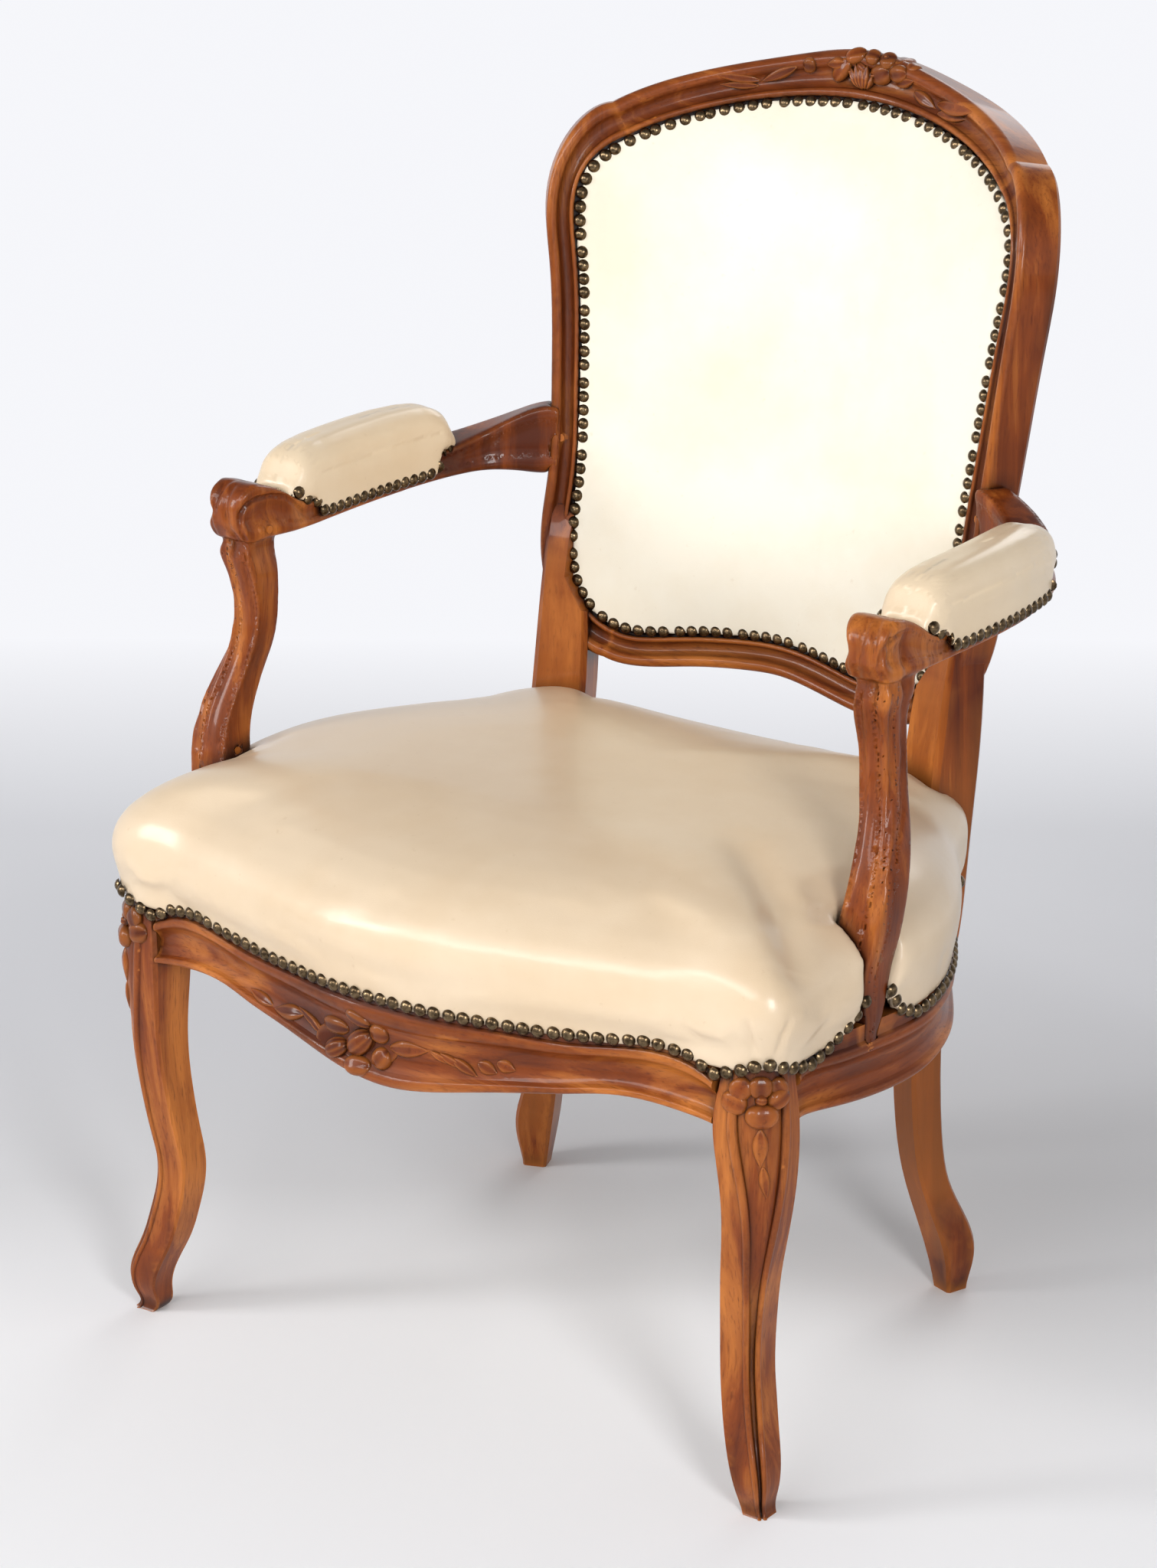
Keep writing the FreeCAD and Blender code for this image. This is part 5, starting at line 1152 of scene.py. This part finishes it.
def settled(pad, carrier):
    """Draws the ends of the leather down on to the wood below them."""
    down = []
    for point in pad.data.vertices:
        place, facing, face, far = carrier.ray_cast(point.co, Vector((0, 0, -1)), SETTLE_REACH)
        if place is not None:
            share = eased(1 - far / SETTLE_FROM)
            down.append((point.index, (far + SETTLE_SINK) * share))
    for number, step in down:
        pad.data.vertices[number].co.z -= step


def domed(name, place, facing, width, height):
    """A dome-headed nail or peg that stands on this place."""
    side = facing.orthogonal().normalized()
    piece = BLANKS["nail"].copy()
    piece.data = BLANKS["nail"].data.copy()
    piece.name = name
    bpy.context.scene.collection.objects.link(piece)
    turn = Matrix((facing * height, side * width, facing.cross(side) * width)).transposed().to_4x4()
    piece.data.transform(Matrix.Translation(place) @ turn)
    return piece


def hem_line(pad, middle, half):
    """Places along the lower edge of the pad's leather, once round."""
    stations = {}
    for point in pad.data.vertices:
        away = Vector(((point.co.x - middle.x) / half.x, (point.co.y - middle.y) / half.y))
        number = int((math.atan2(away.y, away.x) / math.tau + 1) * HEM_STATIONS) % HEM_STATIONS
        stations.setdefault(number, []).append((point.co.z, away.length, point.co.copy()))
    line = []
    for number in sorted(stations):
        lowest = min(found[0] for found in stations[number])
        line.append(max((found for found in stations[number] if found[0] < lowest + HEM_BAND),
                        key=lambda found: found[1])[2])
    count = len(line)
    for turn in range(HEM_EVENED):
        line = [
            (line[number - 1] + line[number] * 2 + line[(number + 1) % count]) / 4
            for number in range(count)
        ]
    return line


def nails_along(name, pad, line, middle, half):
    """Nails set close together round the pad's lower edge, and a little higher at its ends."""
    carrier = surface_of(pad)
    runs = [(end - start).length for start, end in zip(line, line[1:] + line[:1])]
    count = round(sum(runs) / NAIL_SPACING)
    nails = []
    number, passed = 0, 0.0
    for nail in range(count):
        target = sum(runs) * nail / count
        while passed + runs[number] < target:
            passed += runs[number]
            number += 1
        share = (target - passed) / runs[number]
        spot = line[number].lerp(line[(number + 1) % len(line)], share)
        spot.z += END_LIFT * eased((abs(spot.y - middle.y) / half.y - END_FROM) / (1 - END_FROM))
        place, facing = carrier.find_nearest(spot)[:2]
        facing = Vector((facing.x, facing.y, max(facing.z, LEAST_UP))).normalized()
        foot = place - facing * NAIL_HEIGHT * NAIL_SINK_SHARE
        nails.append(domed("nail", foot, facing, NAIL_WIDTH, NAIL_HEIGHT))
    return joined(name, nails)


def arm_pads(wood):
    """The leather of both pads, laid on the wood of the arm, with its nails."""
    core = sum(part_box("arm_stuffing_right"), Vector()) / 2

    def looks_out(place, normal):
        below = Vector((core.x, place.y, core.z - ARM_CORE_DROP))
        return normal.dot(place - below) > 0

    skin = outer_skin("arm_cover_right", looks_out, ARM_LAYER)
    pad = remeshed("arm_leather_right", [skin, merged_copy("arm_stuffing_right")], ARM_VOXEL)
    relaxed(pad, PAD_RELAXED)
    settled(pad, surface_of(wood))
    relaxed(pad, PAD_SETTLED)
    shaded_smooth(pad)
    low, high = (Vector(corner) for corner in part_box("arm_cover_right"))
    middle, half = (low + high) / 2, (high - low) / 2
    nails = nails_along("arm_nail_row_right", pad, hem_line(pad, middle, half), middle, half)
    for piece, side in ((pad, "right"), (mirrored(pad, "arm_leather_left"), "left")):
        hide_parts("arm_cover_" + side, "arm_stuffing_" + side)
        finished(piece, arm_leather)
    for piece, side in ((nails, "right"), (mirrored(nails, "arm_nail_row_left"), "left")):
        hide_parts("arm_nails_" + side)
        finished(piece, brass)


# The dust cloth under the seat

CLOTH_CELLS = 64
CLOTH_SAG = 0.004
CLOTH_THICKNESS = 0.0006


def dust_sheet():
    """A cloth tacked under the rails, a little slack in its middle."""
    low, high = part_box("bottom_cloth")
    solid = carrier_of("bottom_cloth")
    wide, deep = high.x - low.x, high.y - low.y
    bpy.ops.object.select_all(action="DESELECT")
    place = (0, (low.y + high.y) / 2, high.z)
    bpy.ops.mesh.primitive_grid_add(
        x_subdivisions=CLOTH_CELLS, y_subdivisions=CLOTH_CELLS, size=1, location=place
    )
    piece = bpy.context.object
    piece.name = "dust_sheet"
    piece.scale = (wide, deep, 1)
    bpy.ops.object.transform_apply(location=True, rotation=True, scale=True)
    cell = max(wide, deep) / CLOTH_CELLS
    outside = set()
    for point in piece.data.vertices:
        if solid.ray_cast(point.co + Vector((0, 0, cell)), Vector((0, 0, -1)))[0] is None:
            edge = solid.find_nearest(point.co)[0]
            if (edge - point.co).length < cell:
                point.co.xy = edge.xy
            else:
                outside.add(point.index)
        across = (point.co.x - low.x) / wide
        along = (point.co.y - low.y) / deep
        point.co.z -= CLOTH_SAG * math.sin(math.pi * across) * math.sin(math.pi * along)
    pick(piece, lambda point: point.index in outside)
    bpy.ops.mesh.delete(type="VERT")
    mode("OBJECT")
    finish_modifier(piece, "SOLIDIFY", thickness=CLOTH_THICKNESS, offset=-1)
    bpy.ops.object.shade_smooth()
    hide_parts("bottom_cloth")
    finished(piece, dust_cloth)


camera()
studio()
lights()
carved_ornament()
seat()
back_panels()
arm_pads(carved_arms())
dust_sheet()
for blank in BLANKS.values():
    bpy.data.objects.remove(blank)
bpy.context.scene.view_settings.view_transform = "Standard"
